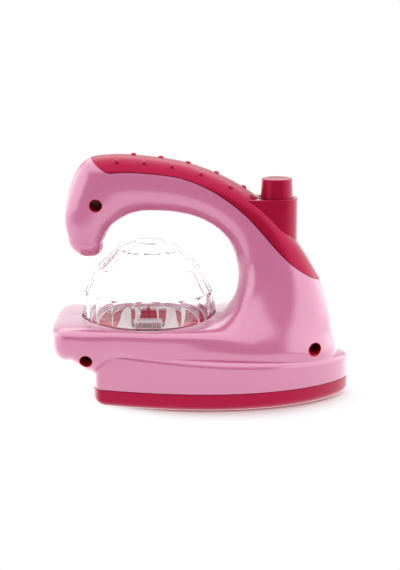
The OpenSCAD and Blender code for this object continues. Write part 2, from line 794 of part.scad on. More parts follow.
module lamp_crystal() {
    color(clear_pink)
    translate([dome_x, -slot_near - 0.6 - crystal_l, plate_z + plate_t])
        difference() {
            translate([-crystal_w / 2, 0, 0])
                cube([crystal_w, crystal_l, crystal_h]);
            for (k = [-2:2])
                translate([k * 2.6, 0, -1])
                    cylinder(r = groove_r, h = crystal_h + 2, $fn = 12);
            for (k = [1:3])
                translate([-crystal_w, k * crystal_l / 4, crystal_h])
                    rotate([0, 90, 0])
                        cylinder(r = groove_r, h = 2 * crystal_w, $fn = 12);
        }
}

// Lamp standing on its two leads in the slot
led_r = 1.5;
led_z = plate_z + plate_t + 0.5;
led_h = 4;

module lamp_led() {
    color(red)
    translate([dome_x, led_y, 0]) {
        translate([0, 0, led_z])
            cylinder(r = led_r + 0.4, h = 1, $fn = 24);
        translate([0, 0, led_z + 1])
            cylinder(r = led_r, h = led_h, $fn = 24);
        translate([0, 0, led_z + 1 + led_h])
            sphere(r = led_r, $fn = 24);
        for (s = [-1, 1])
            translate([s * 0.8, 0, lamp_board_z + lamp_board_t])
                cylinder(r = 0.3, h = led_z - lamp_board_z - lamp_board_t + 0.2, $fn = 12);
    }
}

module led_board() {
    color(board_green)
    translate([dome_x, led_y, lamp_board_z])
        cylinder(r = lamp_board_r, h = lamp_board_t, $fn = round_fn);
}

// Tube of six sides through a list of points
module wire(path, r) {
    n = len(path);
    sides = 6;
    function run(k) = let (d = path[min(k + 1, n - 1)] - path[max(k - 1, 0)]) d / norm(d);
    skin([for (k = [0:n - 1])
        let (d = run(k), u0 = cross(d, [0.31, 0.9, 0.3]), u = u0 / norm(u0), v = cross(d, u))
        [for (s = [0:sides - 1]) let (b = -s * 360 / sides) path[k] + r * (u * cos(b) + v * sin(b))]]);
}
function bend(a, b, c, d) =
    [for (k = [0:12]) let (t = k / 12, s = 1 - t) a * s * s * s + b * 3 * s * s * t + c * 3 * s * t * t + d * t * t * t];

module lamp_lead() {
    z = plate_z + plate_t;
    color(red)
    wire(bend([dome_x - window_x - 1.5, 0, tray_floor + tray_t + 0.6], [dome_x - window_x - 1.5, 2, z + 8],
        [dome_x - 7, led_y, z + 13], [dome_x - 4.5, led_y, lamp_board_z + lamp_board_t + 0.6]), 0.5);
}

// Sole: rounded tray with a lip inside the shells, battery box, speaker seat and screw bosses
floor_t = 2.2;
bay_l = cell_l + 9;
bay_w = 2 * cell_d + 3;
bay_x = -22;
bay_wall = 1.6;
door_t = 2;
cell_z = door_t + 0.3 + cell_d / 2;
roof_z = door_t + 0.6 + cell_d;
speaker_rim_t = 1.4;
speaker_r = speaker_d / 2;
head_r = 2.6;
head_h = 1.5;

module sole_form() {
    levels = [for (a = [0:18:90]) [sole_edge_r * (1 - sin(a)), sole_edge_r * (1 - cos(a))]];
    base = [for (l = levels) [for (p = outline(l[0])) [p[0], p[1], l[1]]]];
    top = [for (p = outline(0)) [p[0], p[1], sole_h]];
    rings = concat(base, [top]);
    skin([for (k = [len(rings) - 1:-1:0]) rings[k]]);
}

module sole_plate() {
    color(crimson)
    difference() {
        union() {
            difference() {
                sole_form();
                translate([0, 0, floor_t])
                    linear_extrude(20)
                        plan_shape(wall);
            }
            translate([0, 0, sole_h - 3])
                linear_extrude(3)
                    difference() {
                        plan_shape(wall - 0.3);
                        plan_shape(wall + fit + lip_t);
                    }
            translate([0, 0, sole_h - 1])
                linear_extrude(lip_h + 1)
                    difference() {
                        plan_shape(wall + fit);
                        plan_shape(wall + fit + lip_t);
                    }
            translate([bay_x - bay_l / 2 - bay_wall, -bay_w / 2 - bay_wall, floor_t - 1])
                cube([bay_l + 2 * bay_wall, bay_w + 2 * bay_wall, roof_z + bay_wall - floor_t + 1]);
            translate([speaker_x, 0, floor_t - 1])
                cylinder(r = speaker_r + fit + bay_wall, h = 4.4, $fn = round_fn);
            for (x = sole_screw_x)
                for (s = [-1, 1])
                    translate([x, s * sole_screw_y(x), floor_t - 1])
                        cylinder(r = head_r + 1.8, h = sole_post_z - floor_t + 1 - seam, $fn = 24);
            translate([door_screw_x, 0, floor_t - 1])
                cylinder(r = 4, h = 8, $fn = 24);
            for (dx = [-1, 1])
                for (dy = [-1, 1])
                    translate([bay_x + dx * board_hole_x, dy * board_hole_y, roof_z])
                        cylinder(r = 2.4, h = main_board_z - roof_z, $fn = 20);
        }
        translate([bay_x - bay_l / 2, -bay_w / 2, -1])
            cube([bay_l, bay_w, roof_z + 1]);
        translate([door_tab_from, -door_tab_w / 2 - fit, -1])
            cube([door_front + fit - door_tab_from, door_tab_w + 2 * fit, 1 + door_t + 0.1]);
        translate([door_screw_x, 0, -1])
            cylinder(r = pilot_r, h = 8.5, $fn = 16);
        translate([speaker_x, 0, floor_t])
            cylinder(r = speaker_r + fit, h = 20, $fn = round_fn);
        for (r = [0, 4.5, 9])
            for (k = [0:max(r / 4.5 * 6 - 1, 0)])
                rotate_about(speaker_x, k * 360 / max(r / 4.5 * 6, 1))
                    translate([r, 0, -1])
                        cylinder(r = 1.1, h = 10, $fn = 12);
        for (x = sole_screw_x)
            for (s = [-1, 1])
                translate([x, s * sole_screw_y(x), -1]) {
                    cylinder(r = head_r + 0.3, h = head_h + 1.1, $fn = 24);
                    cylinder(r = hole_r, h = 20, $fn = 16);
                }
        for (dx = [-1, 1])
            for (dy = [-1, 1])
                translate([bay_x + dx * board_hole_x, dy * board_hole_y, roof_z + 0.4])
                    cylinder(r = pilot_r, h = 20, $fn = 16);
    }
}

module rotate_about(x, a) {
    translate([x, 0, 0])
        rotate([0, 0, a])
            children();
}

module sole_screws() {
    color(steel)
    for (x = sole_screw_x)
        for (s = [-1, 1])
            translate([x, s * sole_screw_y(x), head_h + 0.1])
                screw(13, head_r, head_h);
}

// Battery door with a screw tab at its front end
door_screw_x = bay_x + bay_l / 2 + 4.6;
door_tab_from = bay_x + bay_l / 2 - 1;
door_tab_w = 14;
door_front = door_screw_x + 4.4;

module battery_door() {
    color(crimson)
    difference() {
        union() {
            translate([bay_x - bay_l / 2 + fit, -bay_w / 2 + fit, 0])
                cube([bay_l - 2 * fit, bay_w - 2 * fit, door_t]);
            translate([door_tab_from, -door_tab_w / 2, 0])
                cube([door_front - door_tab_from, door_tab_w, door_t]);
        }
        translate([door_screw_x, 0, -1])
            cylinder(r = hole_r, h = 10, $fn = 16);
        translate([door_screw_x, 0, -1])
            cylinder(r = head_r + 0.2, h = 2.2, $fn = 24);
        for (k = [-2:2])
            translate([bay_x - bay_l / 2 + 8 + k * 2.4, -8, -0.1])
                cube([1, 16, 0.6]);
    }
}

module door_screw() {
    color(steel)
    translate([door_screw_x, 0, 1.2])
        screw(6, head_r, 1.1);
}

// Two cells side by side, one each way round
cell_gap = 6.6;
nub_l = 1.3;

module battery_cells() {
    color(black)
    for (s = [-1, 1])
        translate([bay_x, s * (cell_d / 2 + 0.5), cell_z])
            rotate([0, s * 90, 0])
                translate([0, 0, cell_gap - bay_l / 2 + 0.6]) {
                    cylinder(r = cell_d / 2, h = cell_l - nub_l, $fn = 40);
                    translate([0, 0, cell_l - nub_l])
                        cylinder(r = 2.7, h = nub_l, $fn = 24);
                }
}

module battery_springs() {
    color(steel)
    for (s = [-1, 1])
        translate([bay_x, s * (cell_d / 2 + 0.5), cell_z])
            rotate([0, s * 90, 0])
                translate([0, 0, 0.6 - bay_l / 2])
                    wound(4, 0.4, 0, cell_gap, 4);
}

module battery_contacts() {
    plate_h = 11;
    color(steel)
    for (s = [-1, 1]) {
        translate([bay_x + bay_l / 2 - 0.5 - 0.05, s * (cell_d / 2 + 0.5) - 6, cell_z - plate_h / 2])
            cube([0.5, 12, plate_h]);
        translate([bay_x - bay_l / 2 + 0.05, s * (cell_d / 2 + 0.5) - 6, cell_z - plate_h / 2])
            cube([0.5, 12, plate_h]);
    }
}

// Main board on four posts over the battery box
board_l = bay_l - 15.5;
board_w = bay_w - 5.4;
board_hole_x = board_l / 2 - 4;
board_hole_y = board_w / 2 - 3;
main_board_z = roof_z + bay_wall + 2.4;

module main_board() {
    color(board_green)
    difference() {
        union() {
            translate([bay_x - board_l / 2, -board_w / 2, main_board_z])
                cube([board_l, board_w, board_t]);
            translate([bay_x - 6, -4, main_board_z + board_t])
                cube([12, 8, 2]);
            translate([bay_x + 13, -8, main_board_z + board_t])
                cylinder(r = 2.5, h = 5, $fn = 24);
        }
        for (dx = [-1, 1])
            for (dy = [-1, 1])
                translate([bay_x + dx * board_hole_x, dy * board_hole_y, 0])
                    cylinder(r = hole_r, h = 60, $fn = 16);
    }
}

module board_screws() {
    color(steel)
    for (dx = [-1, 1])
        for (dy = [-1, 1])
            translate([bay_x + dx * board_hole_x, dy * board_hole_y, main_board_z + board_t])
                rotate([180, 0, 0])
                    screw(board_t + 3.4, 2.2, 1.4);
}

// Speaker facing down: rim, tapering basket and magnet, with its cone inside
module speaker() {
    color(black)
    translate([speaker_x, 0, floor_t + 0.05])
        rotate_extrude($fn = round_fn)
            polygon([[speaker_r - 3, 0], [speaker_r, 0], [speaker_r, speaker_rim_t], [speaker_r - 2, speaker_rim_t],
                [9.5, 7.6], [9.5, 11.5], [0, 11.5], [0, 6.8], [8.3, 6.8], [speaker_r - 3, 1]]);
}

module speaker_cone() {
    color(white)
    translate([speaker_x, 0, floor_t + 0.05])
        rotate_extrude($fn = round_fn)
            polygon([[speaker_r - 3.3, 0.2], [speaker_r - 3.3, 0.7], [6, 5.6], [3, 4.6], [0, 4.2], [0, 3.7],
                [3, 4.1], [6, 5]]);
}

left_shell();
right_shell();
shell_screws();
grip_cover();
button();
button_spring();
push_switch();
switch_plunger();
switch_board();
switch_screws();
dome();
dome_tray();
tray_screws();
lamp_plate();
lamp_crystal();
lamp_led();
led_board();
lamp_lead();
sole_plate();
sole_screws();
battery_door();
door_screw();
battery_cells();
battery_springs();
battery_contacts();
main_board();
board_screws();
speaker();
speaker_cone();
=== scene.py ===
import bpy
import numpy as np
from mathutils import Matrix


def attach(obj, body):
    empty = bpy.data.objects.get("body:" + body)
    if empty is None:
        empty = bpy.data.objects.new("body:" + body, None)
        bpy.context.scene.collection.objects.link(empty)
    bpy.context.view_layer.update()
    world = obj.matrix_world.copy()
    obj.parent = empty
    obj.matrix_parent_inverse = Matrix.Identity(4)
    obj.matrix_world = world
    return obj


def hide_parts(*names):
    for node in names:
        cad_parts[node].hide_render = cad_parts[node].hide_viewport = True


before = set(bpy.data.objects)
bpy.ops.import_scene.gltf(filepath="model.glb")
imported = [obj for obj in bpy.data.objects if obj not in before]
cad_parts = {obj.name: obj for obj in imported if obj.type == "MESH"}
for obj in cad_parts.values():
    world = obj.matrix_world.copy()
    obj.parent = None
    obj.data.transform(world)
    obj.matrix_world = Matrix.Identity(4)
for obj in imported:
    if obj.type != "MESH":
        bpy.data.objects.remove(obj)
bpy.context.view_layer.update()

# Housing shells: two glossy pink mouldings, near and far, that meet in the middle plane and are drawn
# together by three screws. The form is one hooked tube that runs from the tip of the hook over the handle,
# down the column and out along the shelf.
MM = 0.001
handle_top, handle_depth, handle_half_w = 137.8, 32.4, 14.2
hook_rear, hook_drop = 77.2, 58.5
column_inner, nose_front = 20.6, 77.5
shelf_top, shelf_half_w, shelf_rear = 46.0, 42.4, 84.8
overhang_z, belly_z = 21.5, 11.0
under = handle_top - handle_depth


def up(f):
    """Height at share f of the gap between shelf and handle."""
    return shelf_top + (under - shelf_top) * f


def broad(f):
    """Half width at share f between handle and shelf."""
    return handle_half_w + (shelf_half_w - handle_half_w) * f


# outer x and z, inner x and z, half width, exponents of the outer and inner half, place of the widest line
stations = np.array([
    [1.9 - hook_rear, handle_top - 48.5, 22.6 - hook_rear, handle_top - 49.5, handle_half_w - 2.2, 2.3, 2.3, 0.5],
    [-hook_rear, handle_top - 36, 27 - hook_rear, handle_top - 41.5, handle_half_w - 1.2, 2.3, 2.3, 0.5],
    [3.2 - hook_rear, handle_top - 19, 32.7 - hook_rear, under - 4.3, handle_half_w - 0.6, 2.3, 2.3, 0.5],
    [11.7 - hook_rear, handle_top - 3.7, 39.2 - hook_rear, under - 1.3, handle_half_w - 0.2, 2.3, 2.3, 0.5],
    [27.2 - hook_rear, handle_top, 46.2 - hook_rear, under, handle_half_w, 2.3, 2.3, 0.5],
    [-29, handle_top - 1, -23, under, handle_half_w, 2.3, 2.3, 0.5],
    [-8, handle_top - 4.5, -13, under - 0.9, handle_half_w + 0.2, 2.3, 2.3, 0.5],
    [14, handle_top - 12.7, column_inner - 22.6, under - 3.6, handle_half_w + 0.6, 2.3, 2.3, 0.5],
    [nose_front - 43, handle_top - 25.4, column_inner - 12.1, under - 9.2, handle_half_w + 1.4, 2.3, 2.3, 0.49],
    [nose_front - 26, up(0.827), column_inner - 4.8, up(0.714), broad(0.1), 2.2, 2.3, 0.46],
    [nose_front - 13.5, up(0.519), column_inner - 0.8, up(0.535), broad(0.19), 2.1, 2.3, 0.42],
    [nose_front - 5.7, up(0.19), column_inner, up(0.35), broad(0.33), 2, 2.4, 0.38],
    [nose_front - 1.2, shelf_top - 8.2, column_inner - 3.4, up(0.162), broad(0.525), 1.9, 2.8, 0.35],
    [nose_front, shelf_top - 26.2, column_inner - 11.1, shelf_top + 2.2, broad(0.755), 2, 3.6, 0.33],
    [nose_front - 23.5, belly_z + 1, column_inner - 21.6, shelf_top + 0.3, broad(0.915), 2.2, 4.8, 0.32],
    [14, belly_z, -13, shelf_top, shelf_half_w - 0.2, 2.4, 5.2, 0.32],
    [-20, belly_z + 0.5, -28, shelf_top, shelf_half_w, 2.1, 5.2, 0.32],
    [38.8 - shelf_rear, overhang_z - 8.5, 38.8 - shelf_rear, shelf_top, shelf_half_w - 1.2, 1.6, 5.2, 0.3],
    [24.8 - shelf_rear, overhang_z - 8, 24.8 - shelf_rear, shelf_top, shelf_half_w - 2.2, 2.4, 5, 0.33],
    [12.8 - shelf_rear, overhang_z, 12.8 - shelf_rear, shelf_top, shelf_half_w - 3.6, 2.6, 4.5, 0.37],
])
hook_tip = np.array([13.6 - hook_rear, handle_top - hook_drop])
rear_end = np.array([-shelf_rear, shelf_top - 9])
last = len(stations) - 1


def along(t):
    """Smooth curve through the stations at places t: cubic pieces whose slope at a station is half the step
    between its neighbours. Beyond the ends x and z run straight on and the rest holds."""
    before = np.r_[2 * stations[0, :4] - stations[1, :4], stations[0, 4:]]
    after = np.r_[2 * stations[-1, :4] - stations[-2, :4], stations[-1, 4:]]
    q = np.vstack([before, stations, after])
    i = np.clip(t.astype(int), 0, last - 1)
    u = (t - i)[:, None]
    a, b, c, d = q[i], q[i + 1], q[i + 2], q[i + 3]
    return (2 * b + (c - a) * u + (2 * a - 5 * b + 4 * c - d) * u**2 + (3 * b - a - 3 * c + d) * u**3) / 2


def sections(t):
    """Sections at places t, one row each: centre, outer arm, inner arm, half width, two exponents."""
    s = along(t)
    outer, inner = s[:, :2], s[:, 2:4]
    centre = inner + (outer - inner) * s[:, 7:8]
    return np.hstack([centre, outer - centre, centre - inner, s[:, 4:7]])


def rounded_end(row, tip, power, steps):
    """Sections that close one end: the centre goes to the tip by sine^(2/power) while the section shrinks by
    cosine^(2/power)."""
    a = np.linspace(0, np.pi / 2, steps + 1)[1:] * 0.999
    grow, shrink = np.sin(a) ** (2 / power), np.cos(a) ** (2 / power)
    rows = np.repeat(row[None], steps, 0)
    rows[:, :2] = row[:2] + (tip - row[:2]) * grow[:, None]
    rows[:, 2:7] = row[2:7] * shrink[:, None]
    return rows


def on_section(rows, phi):
    """Point of each section at polar angle phi from its outer crest, positive to the near side: a super-ellipse,
    radius (|cos|^e + |sin|^e)^(-1/e), stretched by the outer or inner arm and the half width."""
    c, s = np.cos(phi), np.sin(phi)
    e = np.where(c >= 0, rows[:, 7:8], rows[:, 8:9])
    r = (np.abs(c) ** e + np.abs(s) ** e) ** (-1 / e)
    arm_x = np.where(c >= 0, rows[:, 2:3], rows[:, 4:5])
    arm_z = np.where(c >= 0, rows[:, 3:4], rows[:, 5:6])
    return np.stack([rows[:, 0:1] + arm_x * c * r, -rows[:, 6:7] * s * r, rows[:, 1:2] + arm_z * c * r], -1)


def facing(p):
    """Unit normals of a grid of points: cross product of its two central differences."""
    n = np.cross(np.gradient(p, axis=1), np.gradient(p, axis=0))
    return n / np.maximum(np.linalg.norm(n, axis=2, keepdims=True), 1e-12)


def outward(t, phi):
    """Unit normals of the loft at places t and angles phi: cross product of a small step in each."""
    d = 1e-3
    n = np.cross(on_section(sections(t), phi + d) - on_section(sections(t), phi - d),
                 on_section(sections(t + d), phi) - on_section(sections(t - d), phi))
    return n / np.linalg.norm(n, axis=2, keepdims=True)


def grid_patch(p, n=None, flip=False, keep=None):
    """Points, quads and normals of a grid of points. flip turns the faces over, keep drops quads."""
    rows, cols = p.shape[:2]
    k = np.arange(rows * cols).reshape(rows, cols)
    quads = np.stack([k[:-1, :-1], k[:-1, 1:], k[1:, 1:], k[1:, :-1]], -1)
    quads = quads[keep] if keep is not None else quads.reshape(-1, 4)
    n = facing(p) if n is None else n
    if flip:
        quads, n = quads[:, ::-1], -n
    return p.reshape(-1, 3), quads, n.reshape(-1, 3)


def mirrored(patch):
    """The same patch on the far side of the middle plane."""
    p, q, n = patch
    turn = np.array([1.0, -1.0, 1.0])
    return p * turn, q[:, ::-1], n * turn


def make_piece(name, patches, material, body="housing"):
    """One mesh object from patches in millimetres, with their own normals, riding on a body."""
    start = np.cumsum([0] + [len(p[0]) for p in patches])
    points = np.vstack([p[0] for p in patches]) * MM
    faces = [p[1] + s for p, s in zip(patches, start)]
    normals = np.vstack([p[2] for p in patches])
    used = np.unique(np.concatenate([f.ravel() for f in faces]))
    place = np.zeros(len(points), int)
    place[used] = np.arange(len(used))
    mesh = bpy.data.meshes.new(name)
    mesh.from_pydata(points[used], [], [face for f in faces for face in place[f].tolist()])
    mesh.polygons.foreach_set("use_smooth", np.ones(len(mesh.polygons), bool))
    mesh.normals_split_custom_set_from_vertices(normals[used])
    mesh.materials.append(material)
    piece = bpy.data.objects.new(name, mesh)
    bpy.context.scene.collection.objects.link(piece)
    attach(piece, body)
    return piece


def moulded_plastic(name, colour, deep, roughness, coat=0.0):
    """Moulded plastic: the colour drifts a little towards a deeper tone in broad clouds, and a fine grain of the
    mould lifts the surface."""
    m = bpy.data.materials.new(name)
    m.use_nodes = True
    nodes, links = m.node_tree.nodes, m.node_tree.links
    shader = nodes["Principled BSDF"]
    coords = nodes.new("ShaderNodeTexCoord")
    cloud = nodes.new("ShaderNodeTexNoise")
    cloud.inputs["Scale"].default_value = 18
    cloud.inputs["Detail"].default_value = 3
    links.new(coords.outputs["Object"], cloud.inputs["Vector"])
    tone = nodes.new("ShaderNodeMix")
    tone.data_type = "RGBA"
    tone.inputs["A"].default_value = (*colour, 1)
    tone.inputs["B"].default_value = (*deep, 1)
    links.new(cloud.outputs["Fac"], tone.inputs["Factor"])
    links.new(tone.outputs["Result"], shader.inputs["Base Color"])
    grain = nodes.new("ShaderNodeTexNoise")
    grain.inputs["Scale"].default_value = 900
    grain.inputs["Detail"].default_value = 2
    links.new(coords.outputs["Object"], grain.inputs["Vector"])
    shader.inputs["Roughness"].default_value = roughness
    bump = nodes.new("ShaderNodeBump")
    bump.inputs["Strength"].default_value = 0.04
    bump.inputs["Distance"].default_value = 0.0002
    links.new(grain.outputs["Fac"], bump.inputs["Height"])
    links.new(bump.outputs["Normal"], shader.inputs["Normal"])
    shader.inputs["IOR"].default_value = 1.5
    shader.inputs["Coat Weight"].default_value = coat
    shader.inputs["Coat Roughness"].default_value = 0.12
    return m


pink = moulded_plastic("pink_plastic", (0.62, 0.165, 0.33), (0.59, 0.155, 0.31), 0.3, 1.0)
crimson = moulded_plastic("crimson_plastic", (0.36, 0.006, 0.032), (0.34, 0.005, 0.029), 0.24)
crimson.node_tree.nodes["Principled BSDF"].inputs["Specular IOR Level"].default_value = 0.8
crimson.node_tree.nodes["Principled BSDF"].inputs["Specular Tint"].default_value = (1, 0.1, 0.3, 1)

# Edge of the grip cover, as the half angle of its opening in the shells at places t
cover_start, cover_end = 3.31, 10.52
cover_angle, cover_wide_angle = 65.0, 78.0


def cover_edge(t, spare=0.0):
    """Polar half angle of the cover at places t: an angle that widens towards the button, closed at the rear by
    a blunt round end and at the tail by a blunt point, carried over to the polar angle of the section."""
    rise = np.clip((t - cover_start) / 0.44, 0, 1)
    fall = np.clip((t - 8.2) / (cover_end - 8.2), 0, 1)
    s = np.clip((t - 5.8) / 2.4, 0, 1)
    plateau = cover_angle + (cover_wide_angle - cover_angle) * s * s * (3 - 2 * s)
    a = plateau * (1 - (1 - rise) ** 3.2) ** (1 / 3.2) * (1 - fall**2.5) ** 0.4
    a = np.radians(np.where((rise > 0) & (fall < 1), a + spare * (a > 1), 0))
    e = along(t)[:, 5]
    return np.arctan2(np.sin(a) ** (2 / e), np.cos(a) ** (2 / e))


quarter = np.linspace(0, np.pi / 2, 25)
cover_t = np.r_[
    cover_start + 0.44 * (1 - np.cos(quarter)) ** 1.4,
    np.linspace(cover_start + 0.44, 8.2, 90)[1:-1],
    8.2 + (cover_end - 8.2) * np.sin(np.linspace(0, np.pi / 2, 50)) ** 0.8,
]
shell_t = np.r_[np.linspace(0, cover_start, 60)[:-1], cover_t, np.linspace(cover_end, last, 200)[1:]]
shell_rows = sections(shell_t)
shell_rows = np.vstack([
    rounded_end(shell_rows[0], hook_tip, 2.1, 26)[::-1],
    shell_rows,
    rounded_end(shell_rows[-1], rear_end, 2.8, 30),
])
opening = np.r_[np.zeros(26), cover_edge(shell_t, 1.7), np.zeros(30)]
across = np.r_[0, 0.004, np.linspace(0.012, 0.988, 110), 0.996, 1]
shell_phi = opening[:, None] + (np.pi - opening[:, None]) * across
shell_p = on_section(shell_rows, shell_phi)
shell_n = facing(shell_p)
shell_n[27:-31] = outward(shell_t[1:-1], shell_phi[27:-31])


def open_round(p, n, centre, axis, radius, region):
    """Opens a round hole in a grid: quads wholly inside the circle go, and the points inside it that are left
    slide along the surface out to the circle. Returns points, kept quads and the points of the rim."""
    offset = p - centre
    offset = offset - (offset @ axis)[..., None] * axis
    dist = np.linalg.norm(offset, axis=-1)
    inside = (dist < radius) & region
    gone = inside[:-1, :-1] & inside[:-1, 1:] & inside[1:, 1:] & inside[1:, :-1]
    some = inside[:-1, :-1] | inside[:-1, 1:] | inside[1:, 1:] | inside[1:, :-1]
    edge = np.zeros_like(inside)
    cut = some & ~gone
    for di in (0, 1):
        for dj in (0, 1):
            edge[di:edge.shape[0] - 1 + di, dj:edge.shape[1] - 1 + dj] |= cut
    edge &= inside
    move = offset * (radius / np.maximum(dist, 1e-9) - 1)[..., None]
    lift = np.einsum("ijk,ijk->ij", move, n) / np.where(np.abs(n @ axis) < 0.05, 0.05, n @ axis)
    moved = p + move - lift[..., None] * axis
    return np.where(edge[..., None], moved, p), ~gone, edge


def rim_wall(rim, centre, axis, radius, depth_to, steps, bevel, closed):
    """Wall of a round hole: the rim's points in order of angle, rolled over a small bevel, then carried along the
    axis to a set depth."""
    side = np.cross(axis, [0.0, 0.0, 1.0] if abs(axis[2]) < 0.9 else [1.0, 0.0, 0.0])
    third = np.cross(axis, side)
    off = rim - centre
    order = np.argsort(np.arctan2(off @ third, off @ side))
    off = off[np.r_[order, order[:1]]] if closed else off[order]
    far = off @ axis
    flat = off - far[:, None] * axis
    flat = flat * (radius / np.linalg.norm(flat, axis=1))[:, None]
    rows = [(1.0, far)]
    for a in np.linspace(0, 90, 5)[1:]:
        rows.append((1 - bevel / radius * np.sin(np.radians(a)), far + bevel * (1 - np.cos(np.radians(a)))))
    for k in np.linspace(0, 1, steps)[1:]:
        rows.append((1 - bevel / radius, (far + bevel) * (1 - k) + depth_to * k))
    return np.stack([centre + flat * scale + d[:, None] * axis for scale, d in rows])


dome_x, dome_r, seat_depth = -29.2, 37.6, 2.8
seat_z = shelf_top - seat_depth
recess_r = dome_r / np.cos(np.pi / 18) + 0.45
screw_r = 3.8
screw_places = np.array([[18.9 - hook_rear, handle_top - 27.3], [21.6 - shelf_rear, overhang_z + 5.6],
                         [nose_front - 13.1, shelf_top - 15.4]])
down, into = np.array([0.0, 0.0, -1.0]), np.array([0.0, 1.0, 0.0])
dome_foot = np.array([dome_x, 0.0, seat_z])

on_top = (shell_n[..., 2] > 0.5) & (shell_p[..., 2] > 40) & (shell_p[..., 2] < 52)
far_p, kept, rim = open_round(shell_p, shell_n, dome_foot, -down, recess_r, on_top)


def lipped(p, n):
    """Rolls the grid's first and last column in: a slight drop at the edge, then a lip into the joint."""
    p = p.copy()
    p[:, 0] -= 0.1 * n[:, 0]
    p[:, -1] -= 0.1 * n[:, -1]
    return np.concatenate([p[:, :1] - 1.2 * n[:, :1], p, p[:, -1:] - 1.2 * n[:, -1:]], 1)


def shell_patches(p, n, keep):
    """A shell's outer skin with its edges rolled in, held a hair clear of the middle plane."""
    p = lipped(p, n)
    p[..., 1] = np.minimum(p[..., 1], -0.05)
    n = np.concatenate([n[:, :1], n, n[:, -1:]], 1)
    keep = np.concatenate([keep[:, :1], keep, keep[:, -1:]], 1)
    return grid_patch(p, n, keep=keep)


def seat_wall(rim_points):
    """Wall and floor of the dome's seat, from the rim down and in to the dome's spigot."""
    wall = rim_wall(rim_points, dome_foot, down, recess_r, 0.0, 4, 0.5, False)
    inner = wall[-1:] * [1, 1, 1]
    inner = dome_foot + (inner - dome_foot) * [35.0 / recess_r, 35.0 / recess_r, 1]
    return grid_patch(np.concatenate([wall, inner]), flip=True)


far_patches = [mirrored(shell_patches(far_p, shell_n, kept)), mirrored(seat_wall(far_p[rim]))]

near_p, near_keep = far_p, kept
wells = []
for x, z in screw_places:
    mid = np.array([x, -12.0, z])
    near_side = (shell_n[..., 1] < -0.15) & (np.abs(near_p[..., 0] - x) < 9) & (np.abs(near_p[..., 2] - z) < 9)
    near_p, open_keep, hole = open_round(near_p, shell_n, mid, -into, screw_r, near_side)
    near_keep = near_keep & open_keep
    wells.append(grid_patch(rim_wall(near_p[hole], mid, into, screw_r, 7.0, 6, 0.3, True), flip=True))

# Skirt of the shells: the same pink moulding as a belt above the sole, in the sole's plan. Its top edge is rounded,
# falls towards the nose and turns down round the rear end.
sole_nose, sole_rear, sole_half_w, sole_rear_half_w, sole_h = 84.8, 61.0, 44.6, 32.6, 9.8
skirt_top, skirt_slope, skirt_bend, skirt_edge_r = 32.8, 0.086, 0.00017, 4.0
plan_mid, corner_r = 3.0, 7.0


def plan_w(x, inset):
    """Half width of the sole's plan at x, set in all round: narrowing to the rear by a power, and to the nose
    by a super-ellipse."""
    u = np.clip((plan_mid - x) / (plan_mid + sole_rear - inset), 0, 1)
    v = np.clip((x - plan_mid) / (sole_nose - inset - plan_mid), 0, 1)
    wide, narrow = sole_half_w - inset, sole_rear_half_w - inset
    return np.where(x < plan_mid, wide - (wide - narrow) * u**1.8, wide * (1 - v**2.1) ** 0.68)


def half_plan(inset):
    """Near half of the plan's outline from the rear middle round the corner and along the side to the nose."""
    corner = corner_r - sole_rear + inset
    a = np.linspace(0, np.pi / 2, 40)
    x1 = corner - corner_r * np.cos(a) ** (2 / 3)
    w1 = np.minimum(plan_w(x1, inset), plan_w(np.array(corner), inset)) * np.sin(a) ** (2 / 3)
    b = np.linspace(0, np.pi / 2, 150)[1:]
    x2 = corner + (sole_nose - inset - corner) * np.sin(b)
    return np.stack([np.r_[x1, x2], -np.r_[w1, plan_w(x2, inset)]], -1)


def skirt_z(x):
    """Height of the skirt's top: falling towards the nose, and turning down round the rear end."""
    over = np.clip((11 - sole_rear - x) / 11, 0, 1)
    return skirt_top - skirt_slope * (x + 50) + skirt_bend * (x + 50) ** 2 - 11 * (1 - np.sqrt(1 - over**2))


turn = np.radians(np.linspace(0, 90, 10))
skirt_inset = np.r_[1.2, 0.12, 0, 0, 0, skirt_edge_r * (1 - np.cos(turn)), 8, 14]
base = half_plan(0)
top = skirt_z(base[:, 0])
low = sole_h + 0.2
skirt_height = np.vstack([
    np.full_like(top, low), np.full_like(top, low), np.full_like(top, low + 0.25),
    low + (top - 4 - low) * 0.4, low + (top - 4 - low) * 0.8,
    *[top - skirt_edge_r * (1 - np.sin(a)) for a in turn], top, top,
])
skirt_p = np.stack([
    np.concatenate([half_plan(inset), h[:, None]], 1) for inset, h in zip(skirt_inset, skirt_height)
], 1)
skirt_p[..., 1] = np.minimum(skirt_p[..., 1], -0.05)
skirt = grid_patch(skirt_p, flip=True)

near_patches = [shell_patches(near_p, shell_n, near_keep), skirt, seat_wall(far_p[rim])]
left = make_piece("left_shell_skin", near_patches, pink)
right = make_piece("right_shell_skin", far_patches + [mirrored(skirt)], pink)
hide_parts("left_shell")
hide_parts("right_shell")

# Walls of the screw wells: the near shell's plastic in the depth, coloured a dark red as painted shade of the
# wells. Each wall runs from the rounded rim of a recess down to the screw.
painted_well_shade = moulded_plastic("well_painted_shade", (0.62, 0.02, 0.05), (0.58, 0.018, 0.045), 0.5)
make_piece("screw_wells", wells, painted_well_shade)
